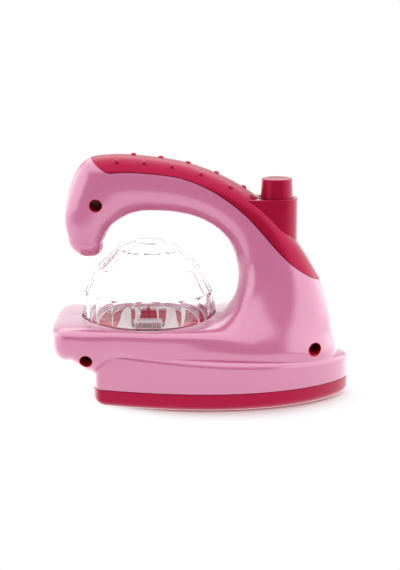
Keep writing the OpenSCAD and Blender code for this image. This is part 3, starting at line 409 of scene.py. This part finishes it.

# Housing screws: steel pan heads at the bottom of the three recesses in the near shell, coloured a dark reddish
# brown as painted shade of the wells. The other screws, the springs and the contacts are plated.


def plated_steel(name, colour, roughness):
    """Plated steel with faint clouds in the plating, which also shift its roughness."""
    m = bpy.data.materials.new(name)
    m.use_nodes = True
    nodes, links = m.node_tree.nodes, m.node_tree.links
    shader = nodes["Principled BSDF"]
    shader.inputs["Metallic"].default_value = 1.0
    coords = nodes.new("ShaderNodeTexCoord")
    cloud = nodes.new("ShaderNodeTexNoise")
    cloud.inputs["Scale"].default_value = 350
    cloud.inputs["Detail"].default_value = 4
    links.new(coords.outputs["Object"], cloud.inputs["Vector"])
    tone = nodes.new("ShaderNodeMix")
    tone.data_type = "RGBA"
    tone.inputs["A"].default_value = (*colour, 1)
    tone.inputs["B"].default_value = (*[c * 0.7 for c in colour], 1)
    links.new(cloud.outputs["Fac"], tone.inputs["Factor"])
    links.new(tone.outputs["Result"], shader.inputs["Base Color"])
    gloss = nodes.new("ShaderNodeMapRange")
    gloss.inputs["To Min"].default_value = roughness - 0.1
    gloss.inputs["To Max"].default_value = roughness + 0.15
    links.new(cloud.outputs["Fac"], gloss.inputs["Value"])
    links.new(gloss.outputs["Result"], shader.inputs["Roughness"])
    return m


steel = plated_steel("plated_steel", (0.6, 0.6, 0.62), 0.35)
# Painted shade: dark reddish brown steel that stands in for the shade on the screws deep in the wells.
painted_shade_steel = plated_steel("painted_shade_steel", (0.16, 0.05, 0.05), 0.45)


def dress(node, material):
    """Gives a CAD node a new material."""
    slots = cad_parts[node].data.materials
    slots.clear()
    slots.append(material)


dress("shell_screws", painted_shade_steel)
for name in ("tray_screws", "switch_screws", "sole_screws", "door_screw", "board_screws",
             "button_spring", "battery_springs", "battery_contacts"):
    dress(name, steel)

# Grip cover: crimson moulding let into the top of the handle, with a narrow joint all round, low round nubs for
# the fingers and a tower that guides the button.
tower_x, tower_r, tower_top = 43.4, 11.8, 113.3
edge = cover_edge(cover_t)
half_cols = np.r_[np.linspace(0, 0.42, 16), np.linspace(0.42, 0.985, 26)[1:], 0.996, 1]
cols = np.r_[-half_cols[:0:-1], half_cols]
cover_rows = sections(cover_t)
cover_phi = edge[:, None] * cols
cover_p = on_section(cover_rows, cover_phi)
tail = np.clip((cover_t - 8.9) / 0.3, 0, 1)[:, None, None]
flat = np.abs(cols) <= 0.42
first, final = np.where(flat)[0][[0, -1]]
share = ((cols[flat] + 0.42) / 0.84)[None, :, None]
chord = cover_p[:, first:first + 1] * (1 - share) + cover_p[:, final:final + 1] * share
cover_p[:, flat] = cover_p[:, flat] * (1 - 0.6 * tail) + chord * 0.6 * tail
cover_n = outward(cover_t, cover_phi)
crisp = cover_n[:, [first, final]].copy()
cover_n[1:-4, first:final + 1] = facing(cover_p[:, first:final + 1])[1:-4]
cover_side = np.concatenate([cover_n[:, :1], cover_n, cover_n[:, -1:]], 1)
cover_skin = lipped(cover_p, cover_n)
cover_near = np.concatenate([cover_side[:, :first + 1], crisp[:, :1]], 1)
cover_far = np.concatenate([crisp[:, 1:], cover_side[:, final + 2:]], 1)
cover_patches = [
    grid_patch(cover_skin[:, :first + 2], cover_near),
    grid_patch(cover_skin[:, first + 1:final + 2], cover_n[:, first:final + 1]),
    grid_patch(cover_skin[:, final + 1:], cover_far),
]


def round_cap(p, out, r, h, steps=7, sides=20):
    """Low round nub: a cap of a sphere of foot radius r and height h on a point, facing out, its foot sunk."""
    big = (r * r + h * h) / (2 * h)
    centre = p + out * (h - big)
    u = np.cross(out, [0.0, 1.0, 0.3])
    u /= np.linalg.norm(u)
    v = np.cross(out, u)
    a = np.linspace(0.02, np.arccos(1 - (h + 0.4) / big), steps)[:, None, None]
    b = np.linspace(0, 2 * np.pi, sides + 1)[None, :, None]
    n = np.cos(a) * out + np.sin(a) * (np.cos(b) * u + np.sin(b) * v)
    return grid_patch(centre + big * n, n, flip=True)


def with_foot(patch):
    """Turns a nub's faces outwards, keeping its normals."""
    p, q, n = patch
    return p, q, -n


nubs = []
for places, angle in ((4.6 + 0.73 * np.arange(5), 0.0), (4.07 + 0.79 * np.arange(5), 38.0),
                      (4.07 + 0.79 * np.arange(5), -38.0)):
    rows = sections(places)
    a = np.radians(abs(angle))
    e = rows[:, 7:8]
    phi = np.sign(angle) * np.arctan2(np.sin(a) ** (2 / e), np.cos(a) ** (2 / e))
    spots = on_section(rows, phi)[:, 0]
    outs = spots - np.stack([rows[:, 0], np.zeros(5), rows[:, 1]], -1)
    for spot, out in zip(spots, outs):
        nubs.append(with_foot(round_cap(spot, out / np.linalg.norm(out), 1.8, 1.1)))


def turned(x, profile, sides=96):
    """Surface of revolution about the upright axis at x: a profile of radius and height carried round."""
    profile = np.array(profile, float)
    b = np.linspace(0, 2 * np.pi, sides + 1)
    r, z = profile[:, 0:1], profile[:, 1:2]
    return np.stack([x + r * np.cos(b), r * np.sin(b), z + 0 * b], -1)


def rounded(points, radius, steps=5):
    """Profile with its inner corners rounded: each corner is swapped for a short curve between points set back
    along both sides."""
    pts = np.array(points, float)
    out = [pts[:1]]
    for a, b, c in zip(pts[:-2], pts[1:-1], pts[2:]):
        back = min(radius, 0.45 * np.linalg.norm(a - b), 0.45 * np.linalg.norm(c - b))
        p0 = b + (a - b) / np.linalg.norm(a - b) * back
        p2 = b + (c - b) / np.linalg.norm(c - b) * back
        t = np.linspace(0, 1, steps)[:, None]
        out.append(p0 * (1 - t) ** 2 + 2 * b * t * (1 - t) + p2 * t**2)
    return np.vstack(out + [pts[-1:]])


bore_r, edge_r = 9.4, 0.5
tower = turned(tower_x, rounded([(tower_r, 84), (tower_r, tower_top), (bore_r, tower_top), (bore_r, 100)], edge_r))
arc = np.radians(np.linspace(0, 90, 6))
flat_r, edge_z = tower_r - edge_r, tower_top - edge_r
block_y = np.r_[np.linspace(0, 1, 4) * flat_r, flat_r + edge_r * np.sin(arc), np.full(12, tower_r)]
block_z = np.r_[np.full(4, tower_top), edge_z + edge_r * np.cos(arc), np.linspace(edge_z, 0, 13)[1:]]
block_x = tower_x - np.r_[np.linspace(30, bore_r, 12), bore_r * np.cos(np.linspace(0, np.pi / 2, 16))[1:]]
block_low = np.interp(block_x, [tower_x - 30, tower_x - 17, tower_x], [107, 97, 84])
clear_of_bore = np.sqrt(np.maximum(bore_r**2 - (tower_x - block_x) ** 2, 0))
block = np.stack([
    np.stack([np.full(len(block_y), x), -np.maximum(block_y, y), np.maximum(block_z, z)], -1)
    for x, y, z in zip(block_x, clear_of_bore, block_low)
])
block_patch = grid_patch(block)
cover = make_piece("grip_cover_skin", cover_patches + [grid_patch(tower, flip=True), block_patch,
                                                       mirrored(block_patch)] + nubs, crimson)
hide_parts("grip_cover")

# Push button: crimson cap that slides in the tower on a spring, its top slightly dished. A flange at its foot
# keeps it in the tower.
button_r, button_top = 9.3, tower_top + 11
button_profile = rounded([
    (0.01, button_top - 0.6), (5.0, button_top - 0.4), (6.8, button_top), (button_r - 0.6, button_top),
    (button_r, tower_top), (button_r, 104.4), (10.3, 104.4), (10.3, 101.9), (7, 101.9),
], 1.7, 8)
button = make_piece("button_cap", [grid_patch(turned(tower_x, button_profile), flip=True)], crimson, "button")
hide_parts("button")

# Switch under the button: black body on a green board with a red pin, hidden in the tower. The other boards and
# the speaker's basket share these materials.
black = moulded_plastic("black_plastic", (0.02, 0.02, 0.022), (0.03, 0.03, 0.03), 0.45)
red_plastic = moulded_plastic("red_plastic", (0.5, 0.02, 0.02), (0.42, 0.015, 0.02), 0.3)
board = moulded_plastic("board_green", (0.02, 0.12, 0.05), (0.015, 0.09, 0.04), 0.4)
for name in ("push_switch", "speaker"):
    dress(name, black)
for name in ("switch_board", "led_board", "main_board"):
    dress(name, board)
dress("switch_plunger", red_plastic)

# Light dome: one clear moulding with flat panels outside and a hollow of cones behind the rows inside. Its foot
# stands in the recess of the shelf and its spigot goes down through the opening.
panels, dome_h, dome_wall = 18, 45.3, 2.4
tilt = np.radians([3, 27.7, 48, 67])
egg_h = dome_h + 0.7
span = np.hypot((dome_r + 0.4) * np.cos(tilt), egg_h * np.sin(tilt))
span[0], span[1] = dome_r * np.cos(tilt[0]), span[1] + 0.5
half_step = np.pi / panels


def corner(i, ci, j, cj, wall=0.0):
    """Radius and height where faces of rows i and j meet: each face is a plane at its distance, seen along the
    middle of the face or the edge between two. A wall sets both in."""
    a = np.array([[np.cos(tilt[i]) * ci, np.sin(tilt[i])], [np.cos(tilt[j]) * cj, np.sin(tilt[j])]])
    return np.linalg.solve(a, span[[i, j]] - wall)


def inside(i, z):
    """Radius of the hollow's cone behind row i at height z."""
    return (span[i] - dome_wall - np.sin(tilt[i]) * z) / np.cos(tilt[i])


def ring(count, start, spot):
    """Corners round the dome at one radius and height."""
    a = start - np.pi / 2 + np.arange(count) * 2 * np.pi / count
    return np.stack([dome_x + spot[0] * np.cos(a), spot[0] * np.sin(a), seat_z + spot[1] + 0 * a], -1)


ch, half = np.cos(half_step), panels // 2
cap_r = (span[3] - np.sin(tilt[3]) * dome_h) / np.cos(tilt[3]) / np.cos(2 * half_step)
rings = [
    ring(panels, half_step, (span[0] / np.cos(tilt[0]) / ch, 0)),
    ring(panels, half_step, corner(0, ch, 1, 1)), ring(panels, 0, corner(0, 1, 1, ch)),
    ring(panels, 0, corner(1, ch, 2, 1)), ring(panels, half_step, corner(1, 1, 2, ch)),
    ring(half, half_step, corner(2, ch, 3, 1)), ring(half, 3 * half_step, corner(2, ch, 3, np.cos(2 * half_step))),
    ring(half, 3 * half_step, (cap_r, dome_h)),
]
at = np.cumsum([0] + [len(r) for r in rings])
k, m = np.arange(panels), np.arange(half)
kb, kf, mb = (k - 1) % panels, (k + 1) % panels, (m - 1) % half
faces = [
    *np.stack([kb, k, at[1] + k, at[2] + k, at[1] + kb], -1).tolist(),
    *np.stack([at[1] + k, at[2] + kf, at[3] + kf, at[4] + k, at[3] + k, at[2] + k], -1).tolist(),
    *np.stack([at[3] + 2 * m, at[4] + 2 * m, at[5] + m, at[6] + mb, at[4] + (2 * m - 1) % panels], -1).tolist(),
    *np.stack([at[3] + 2 * m + 1, at[4] + 2 * m + 1, at[6] + m, at[5] + m, at[4] + 2 * m], -1).tolist(),
    *np.stack([at[5] + m, at[6] + m, at[7] + m, at[7] + mb, at[6] + mb], -1).tolist(),
    (at[7] + m).tolist(),
]
facet_count = len(faces)
spigot_r, hollow_h = 35.8, dome_h - 2.3
hollow = np.vstack([
    [(spigot_r, 0.0), (spigot_r, -3.5), (spigot_r - 2.2, -3.5), (spigot_r - 2.2, 0.5), (inside(0, 2), 2)],
    [corner(i, 1, i + 1, 1, dome_wall) for i in range(3)],
    [(inside(3, hollow_h), hollow_h)],
])
hollow_grid = turned(dome_x, hollow + [0, seat_z], panels * 4)[:, :-1]
shape = hollow_grid.shape[:2]
points = np.vstack(rings + [hollow_grid.reshape(-1, 3)])
j = (at[-1] + np.arange(shape[0] * shape[1])).reshape(shape)
nextj = np.roll(j, -1, 1)
faces += np.stack([j[:-1], nextj[:-1], nextj[1:], j[1:]], -1).reshape(-1, 4)[:, ::-1].tolist()
faces.append(j[-1][::-1].tolist())
foot = np.arange(panels)
steps_round = 4
first_j = (np.arange(panels) * steps_round + steps_round // 2 - panels) % (panels * steps_round)
for s in range(panels):
    b0, b1 = foot[s], foot[(s + 1) % panels]
    inner_run = [j[0, (first_j[s] + q) % (panels * steps_round)] for q in range(steps_round + 1)]
    faces.append([b1, b0] + [int(q) for q in inner_run])
dome_mesh = bpy.data.meshes.new("light_dome")
dome_mesh.from_pydata(points * MM, [], faces)
smooth = np.zeros(len(faces), bool)
smooth[facet_count:facet_count + (shape[0] - 1) * shape[1]] = True
dome_mesh.polygons.foreach_set("use_smooth", smooth)
ends = np.zeros(2 * len(dome_mesh.edges), int)
dome_mesh.edges.foreach_get("vertices", ends)
hollow_row = np.where(ends < at[-1], -1, (ends - at[-1]) // shape[1]).reshape(-1, 2)
crease = dome_mesh.attributes.new("sharp_edge", "BOOLEAN", "EDGE")
crease.data.foreach_set("value", (hollow_row[:, 0] == hollow_row[:, 1]) & (hollow_row[:, 0] >= 0))


def clear_plastic(name, tint, roughness):
    """Clear moulded plastic: light goes through with a faint tint, and slow waves of the moulding bend it."""
    m = bpy.data.materials.new(name)
    m.use_nodes = True
    nodes, links = m.node_tree.nodes, m.node_tree.links
    shader = nodes["Principled BSDF"]
    shader.inputs["Base Color"].default_value = (*tint, 1)
    shader.inputs["Transmission Weight"].default_value = 1.0
    shader.inputs["IOR"].default_value = 1.49
    shader.inputs["Specular IOR Level"].default_value = 0.2
    coords = nodes.new("ShaderNodeTexCoord")
    wave = nodes.new("ShaderNodeTexNoise")
    wave.inputs["Scale"].default_value = 60
    wave.inputs["Detail"].default_value = 1
    links.new(coords.outputs["Object"], wave.inputs["Vector"])
    gloss = nodes.new("ShaderNodeMapRange")
    gloss.inputs["To Min"].default_value = max(roughness - 0.01, 0)
    gloss.inputs["To Max"].default_value = roughness + 0.02
    links.new(wave.outputs["Fac"], gloss.inputs["Value"])
    links.new(gloss.outputs["Result"], shader.inputs["Roughness"])
    bump = nodes.new("ShaderNodeBump")
    bump.inputs["Strength"].default_value = 0.03
    bump.inputs["Distance"].default_value = 0.0005
    links.new(wave.outputs["Fac"], bump.inputs["Height"])
    links.new(bump.outputs["Normal"], shader.inputs["Normal"])
    path = nodes.new("ShaderNodeLightPath")
    through = nodes.new("ShaderNodeBsdfTransparent")
    through.inputs["Color"].default_value = (*[0.96 * c for c in tint], 1)
    soft = nodes.new("ShaderNodeMath")
    soft.operation = "MAXIMUM"
    links.new(path.outputs["Is Shadow Ray"], soft.inputs[0])
    links.new(path.outputs["Is Diffuse Ray"], soft.inputs[1])
    plainly = nodes.new("ShaderNodeMath")
    plainly.operation = "MAXIMUM"
    plainly.inputs[1].default_value = 0.08
    links.new(soft.outputs["Value"], plainly.inputs[0])
    which = nodes.new("ShaderNodeMixShader")
    links.new(plainly.outputs["Value"], which.inputs["Fac"])
    links.new(shader.outputs["BSDF"], which.inputs[1])
    links.new(through.outputs["BSDF"], which.inputs[2])
    links.new(which.outputs["Shader"], nodes["Material Output"].inputs["Surface"])
    return m


clear = clear_plastic("clear_plastic", (1.0, 0.985, 0.99), 0.02)
dome_mesh.materials.append(clear)
dome = bpy.data.objects.new("light_dome", dome_mesh)
bpy.context.scene.collection.objects.link(dome)
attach(dome, "housing")
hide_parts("dome")

# Lamp parts under the dome: white plate with two windows over a crimson tray, a clear crystal round the lamp's
# leads, and a red wire.


def node_math(nodes, links, kind, first, second):
    """Math node fed by sockets or plain numbers. Returns its output."""
    node = nodes.new("ShaderNodeMath")
    node.operation = kind
    for socket, value in zip(node.inputs, (first, second)):
        if isinstance(value, (int, float)):
            socket.default_value = value
        else:
            links.new(value, socket)
    return node.outputs["Value"]


def lamp_field(name, paint_colour, ground):
    """Moulding in its ground colour with two fields at the sides and a wedge behind the crystal in another colour.
    The fields start at a distance from the middle, from the front and from the rim, the wedge narrows away from
    the front."""
    m = moulded_plastic(name, ground, [0.95 * c for c in ground], 0.4)
    nodes, links = m.node_tree.nodes, m.node_tree.links
    place = nodes.new("ShaderNodeSeparateXYZ")
    links.new(nodes["Texture Coordinate"].outputs["Object"], place.inputs["Vector"])

    def step(kind, first, second):
        """Math node of this material."""
        return node_math(nodes, links, kind, first, second)

    aside = step("ABSOLUTE", step("SUBTRACT", place.outputs["X"], dome_x * MM), 0.0)
    reach = step("ADD", step("MULTIPLY", aside, aside), step("MULTIPLY", place.outputs["Y"], place.outputs["Y"]))
    field = step("MULTIPLY", step("GREATER_THAN", aside, 0.0180), step("LESS_THAN", reach, 0.0312**2))
    field = step("MULTIPLY", field, step("GREATER_THAN", place.outputs["Y"], -0.022))
    narrowing = step("ADD", aside, step("MULTIPLY", place.outputs["Y"], 0.3))
    behind = step("GREATER_THAN", place.outputs["Y"], -0.0205)
    wedge = step("MULTIPLY", step("LESS_THAN", narrowing, 0.0005), behind)
    paint = nodes.new("ShaderNodeMix")
    paint.data_type = "RGBA"
    links.new(step("MAXIMUM", field, wedge), paint.inputs["Factor"])
    shader = nodes["Principled BSDF"]
    links.new(shader.inputs["Base Color"].links[0].from_socket, paint.inputs["A"])
    paint.inputs["B"].default_value = (*paint_colour, 1)
    links.new(paint.outputs["Result"], shader.inputs["Base Color"])
    return m


lamp_white = lamp_field("lamp_white", (0.6, 0.012, 0.09), (0.82, 0.8, 0.8))
dress("lamp_plate", lamp_white)
tray_pink = moulded_plastic("tray_pink", (0.85, 0.03, 0.17), (0.8, 0.025, 0.155), 0.5)
for matt in (lamp_white, tray_pink):
    matt.node_tree.nodes["Principled BSDF"].inputs["Specular IOR Level"].default_value = 0.06
dress("dome_tray", tray_pink)
dress("lamp_crystal", clear)
dress("lamp_led", red_plastic)
dress("lamp_lead", red_plastic)

# Sole: crimson tray with a rounded lower edge, screwed up into the shells from below. Its flat underside has the
# opening of the battery door, four screw recesses and the holes of the speaker.
sole_edge_r = 4.7
curl = np.radians(np.linspace(0, 90, 12))
sole_inset = np.r_[sole_edge_r * (1 - np.sin(curl)), 0, 0, 0.12, 1.2]
sole_z = np.r_[sole_edge_r * (1 - np.cos(curl)), 7, sole_h - 0.25, sole_h, sole_h]
sole_p = np.stack([np.concatenate([half_plan(i), np.full((189, 1), h)], 1) for i, h in zip(sole_inset, sole_z)], 1)
sole_patch = grid_patch(sole_p, flip=True)


def flat_plate(loops, z, flip):
    """Flat face at height z bounded by closed loops, the inner ones left open."""
    curve = bpy.data.curves.new("plate", "CURVE")
    curve.dimensions, curve.fill_mode = "2D", "BOTH"
    for loop in loops:
        spline = curve.splines.new("POLY")
        spline.points.add(len(loop) - 1)
        spline.points.foreach_set("co", np.c_[loop, np.zeros(len(loop)), np.ones(len(loop))].ravel())
        spline.use_cyclic_u = True
    drawn = bpy.data.objects.new("plate", curve)
    bpy.context.scene.collection.objects.link(drawn)
    mesh = bpy.data.meshes.new_from_object(drawn.evaluated_get(bpy.context.evaluated_depsgraph_get()))
    bpy.data.objects.remove(drawn)
    p = np.zeros(3 * len(mesh.vertices))
    mesh.vertices.foreach_get("co", p)
    tri = np.array([f.vertices[:] for f in mesh.polygons])
    p = p.reshape(-1, 3) + [0, 0, z]
    bpy.data.meshes.remove(mesh)
    up_facing = np.cross(p[tri[:, 1]] - p[tri[:, 0]], p[tri[:, 2]] - p[tri[:, 0]])[:, 2] > 0
    tri = np.where((up_facing == flip)[:, None], tri[:, ::-1], tri)
    return p, tri, np.tile([0, 0, -1.0 if flip else 1.0], (len(p), 1))


def hole_wall(loop, depth):
    """Wall of an opening in the underside, from its loop up to a depth."""
    closed = np.vstack([loop, loop[:1]])
    return grid_patch(np.stack([np.c_[closed, np.full(len(closed), h)] for h in (0.0, depth)]), flip=True)


def circle(x, y, r, sides=32):
    """Loop round a point of the underside."""
    b = np.linspace(0, 2 * np.pi, sides + 1)[:-1]
    return np.stack([x + r * np.cos(b), y + r * np.sin(b)], -1)


half_rim = half_plan(sole_edge_r)
under_rim = np.vstack([half_rim, half_rim[-2:0:-1] * [1, -1]])
bay_x, bay_l, bay_w, tab_x, tab_w = -22.0, 59.5, 31.4, 17.0, 14.6
bay_front, bay_side = bay_x + bay_l / 2, bay_w / 2
door_hole = np.array([
    (bay_x - bay_l / 2, -bay_side), (bay_front, -bay_side), (bay_front, -tab_w / 2), (tab_x, -tab_w / 2),
    (tab_x, tab_w / 2), (bay_front, tab_w / 2), (bay_front, bay_side), (bay_x - bay_l / 2, bay_side),
])
screw_holes = [circle(x, s * (plan_w(np.array(x), 0) - 10.5), 2.9) for x in (-42.7, 42.4) for s in (-1, 1)]
sound_holes = [circle(44 + r * np.cos(a), r * np.sin(a), 1.1, 20) for r, count in ((0, 1), (4.5, 6), (9, 12))
               for a in np.arange(count) * 2 * np.pi / count]
sole = make_piece("sole_skin", [sole_patch, mirrored(sole_patch),
                                flat_plate([under_rim, door_hole] + screw_holes + sound_holes, 0.0, True),
                                hole_wall(door_hole, 2.2)] + [hole_wall(h, 1.6) for h in screw_holes]
                  + [hole_wall(h, 2.2) for h in sound_holes], crimson)
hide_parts("sole_plate")
dress("battery_door", crimson)

# Works in the base: speaker cone of grey paper, and two cells in plain black sleeves. The cells lie in the bay
# behind the door.
paper = moulded_plastic("cone_paper", (0.5, 0.48, 0.44), (0.4, 0.38, 0.35), 0.8)
dress("speaker_cone", paper)
dress("battery_cells", black)

# Stage: pale floor that fades into a white surround for the camera and keeps the shadow under the part. Glossy
# faces see the floor lit near the part and behind it, and dark towards the camera.
floor_mesh = bpy.data.meshes.new("floor")
floor_mesh.from_pydata([(-3, -3, -0.0002), (3, -3, -0.0002), (3, 3, -0.0002), (-3, 3, -0.0002)], [], [(0, 1, 2, 3)])
floor = bpy.data.objects.new("floor", floor_mesh)
bpy.context.scene.collection.objects.link(floor)
floor_mat = bpy.data.materials.new("pale_floor")
floor_mat.use_nodes = True
fn, fl = floor_mat.node_tree.nodes, floor_mat.node_tree.links
fn["Principled BSDF"].inputs["Base Color"].default_value = (0.93, 0.93, 0.93, 1)
fn["Principled BSDF"].inputs["Roughness"].default_value = 0.7


def node_ramp(nodes, links, value, start, end, low, high):
    """Smooth step of a value between two places, from a low to a high level. Returns its output."""
    node = nodes.new("ShaderNodeMapRange")
    node.interpolation_type = "SMOOTHSTEP"
    node.inputs["From Min"].default_value = start
    node.inputs["From Max"].default_value = end
    node.inputs["To Min"].default_value = low
    node.inputs["To Max"].default_value = high
    links.new(value, node.inputs["Value"])
    return node.outputs["Result"]


floor_at = fn.new("ShaderNodeTexCoord")
footprint = fn.new("ShaderNodeMapping")
footprint.inputs["Location"].default_value = (-0.22, 0, 0)
footprint.inputs["Scale"].default_value = (14.5, 18, 1)
fl.new(floor_at.outputs["Object"], footprint.inputs["Vector"])
away = fn.new("ShaderNodeVectorMath")
away.operation = "LENGTH"
fl.new(footprint.outputs["Vector"], away.inputs[0])
floor_path = fn.new("ShaderNodeLightPath")
floor_seen = node_math(
    fn, fl, "MAXIMUM", floor_path.outputs["Is Camera Ray"], floor_path.outputs["Is Transmission Ray"]
)
white_share = node_math(fn, fl, "MULTIPLY", node_ramp(fn, fl, away.outputs["Value"], 0.8, 1.2, 0, 1), floor_seen)
paper_white = fn.new("ShaderNodeEmission")
floor_axes = fn.new("ShaderNodeSeparateXYZ")
fl.new(floor_at.outputs["Object"], floor_axes.inputs["Vector"])
mirrored_floor = node_ramp(fn, fl, floor_axes.outputs["Y"], -0.5, -0.22, 0.15, 2.2)
level = fn.new("ShaderNodeMix")
level.inputs["A"].default_value = 1.0
fl.new(floor_path.outputs["Is Glossy Ray"], level.inputs["Factor"])
fl.new(mirrored_floor, level.inputs["B"])
fl.new(level.outputs["Result"], paper_white.inputs["Strength"])
floor_mix = fn.new("ShaderNodeMixShader")
fl.new(node_math(fn, fl, "MAXIMUM", white_share, floor_path.outputs["Is Glossy Ray"]), floor_mix.inputs["Fac"])
fl.new(fn["Principled BSDF"].outputs["BSDF"], floor_mix.inputs[1])
fl.new(paper_white.outputs["Emission"], floor_mix.inputs[2])
fl.new(floor_mix.outputs["Shader"], fn["Material Output"].inputs["Surface"])
floor_mesh.materials.append(floor_mat)

# Light tent round the stage: an even white light, which glossy faces see as bright walls and roof with a dark
# opening where the camera stands. The camera and clear plastic see plain white.
world = bpy.data.worlds.new("tent")
bpy.context.scene.world = world
world.use_nodes = True
wn, wl = world.node_tree.nodes, world.node_tree.links
tent = wn["Background"]
tent.inputs["Color"].default_value = (1, 1, 1, 1)
way = wn.new("ShaderNodeTexCoord")
axes = wn.new("ShaderNodeSeparateXYZ")
wl.new(way.outputs["Generated"], axes.inputs["Vector"])
roof = node_ramp(wn, wl, axes.outputs["Z"], 0.48, 0.62, 0.1, 3.0)
walls = node_ramp(wn, wl, node_math(wn, wl, "ABSOLUTE", axes.outputs["X"], 0.0), 0.62, 0.78, 0.1, 3.4)
back = node_ramp(wn, wl, axes.outputs["Y"], -0.3, 0.1, 0.1, 1.2)
mirrored_tent = node_math(wn, wl, "MAXIMUM", node_math(wn, wl, "MAXIMUM", roof, walls), back)
tent_path = wn.new("ShaderNodeLightPath")
tent_level = wn.new("ShaderNodeMix")
tent_level.inputs["A"].default_value = 0.92
wl.new(tent_path.outputs["Is Glossy Ray"], tent_level.inputs["Factor"])
wl.new(mirrored_tent, tent_level.inputs["B"])
wl.new(tent_level.outputs["Result"], tent.inputs["Strength"])
plain = wn.new("ShaderNodeBackground")
plain.inputs["Color"].default_value = (1, 1, 1, 1)
tent_seen = node_math(
    wn, wl, "MAXIMUM", tent_path.outputs["Is Camera Ray"], tent_path.outputs["Is Transmission Ray"]
)
tent_mix = wn.new("ShaderNodeMixShader")
wl.new(tent_seen, tent_mix.inputs["Fac"])
wl.new(tent.outputs["Background"], tent_mix.inputs[1])
wl.new(plain.outputs["Background"], tent_mix.inputs[2])
wl.new(tent_mix.outputs["Shader"], wn["World Output"].inputs["Surface"])


# Lamp and camera: one soft light under the roof of the tent, and the photo's view from the near side, a little
# above the part.
def soft_box(name, place, aim, size, power):
    """Square lamp at a place, turned to face a point."""
    data = bpy.data.lights.new(name, "AREA")
    data.shape = "RECTANGLE"
    data.size, data.size_y = size
    data.energy = power
    lamp = bpy.data.objects.new(name, data)
    bpy.context.scene.collection.objects.link(lamp)
    z = np.array(place, float) - np.array(aim, float)
    z /= np.linalg.norm(z)
    x = np.cross([0.0, 0.0, 1.0] if abs(z[2]) < 0.95 else [0.0, 1.0, 0.0], z)
    x /= np.linalg.norm(x)
    spin = np.eye(4)
    spin[:3] = np.stack([x, np.cross(z, x), z, np.array(place, float)], 1)
    lamp.matrix_world = Matrix(spin.tolist())


soft_box("roof_box", (0, 0.25, 1.0), (0, 0, 0), (1.4, 1.0), 1.5)

camera = bpy.data.cameras.new("camera")
camera.sensor_width = 36
camera.lens = 105.0
camera.clip_end = 20
view = bpy.data.objects.new("camera", camera)
bpy.context.scene.collection.objects.link(view)
pitch = np.radians(11.6)
view.location = (0, -0.95 * np.cos(pitch), 0.06271 + 0.95 * np.sin(pitch))
view.rotation_euler = (np.pi / 2 - pitch, 0, 0)
bpy.context.scene.camera = view
bpy.context.scene.view_settings.view_transform = "Standard"
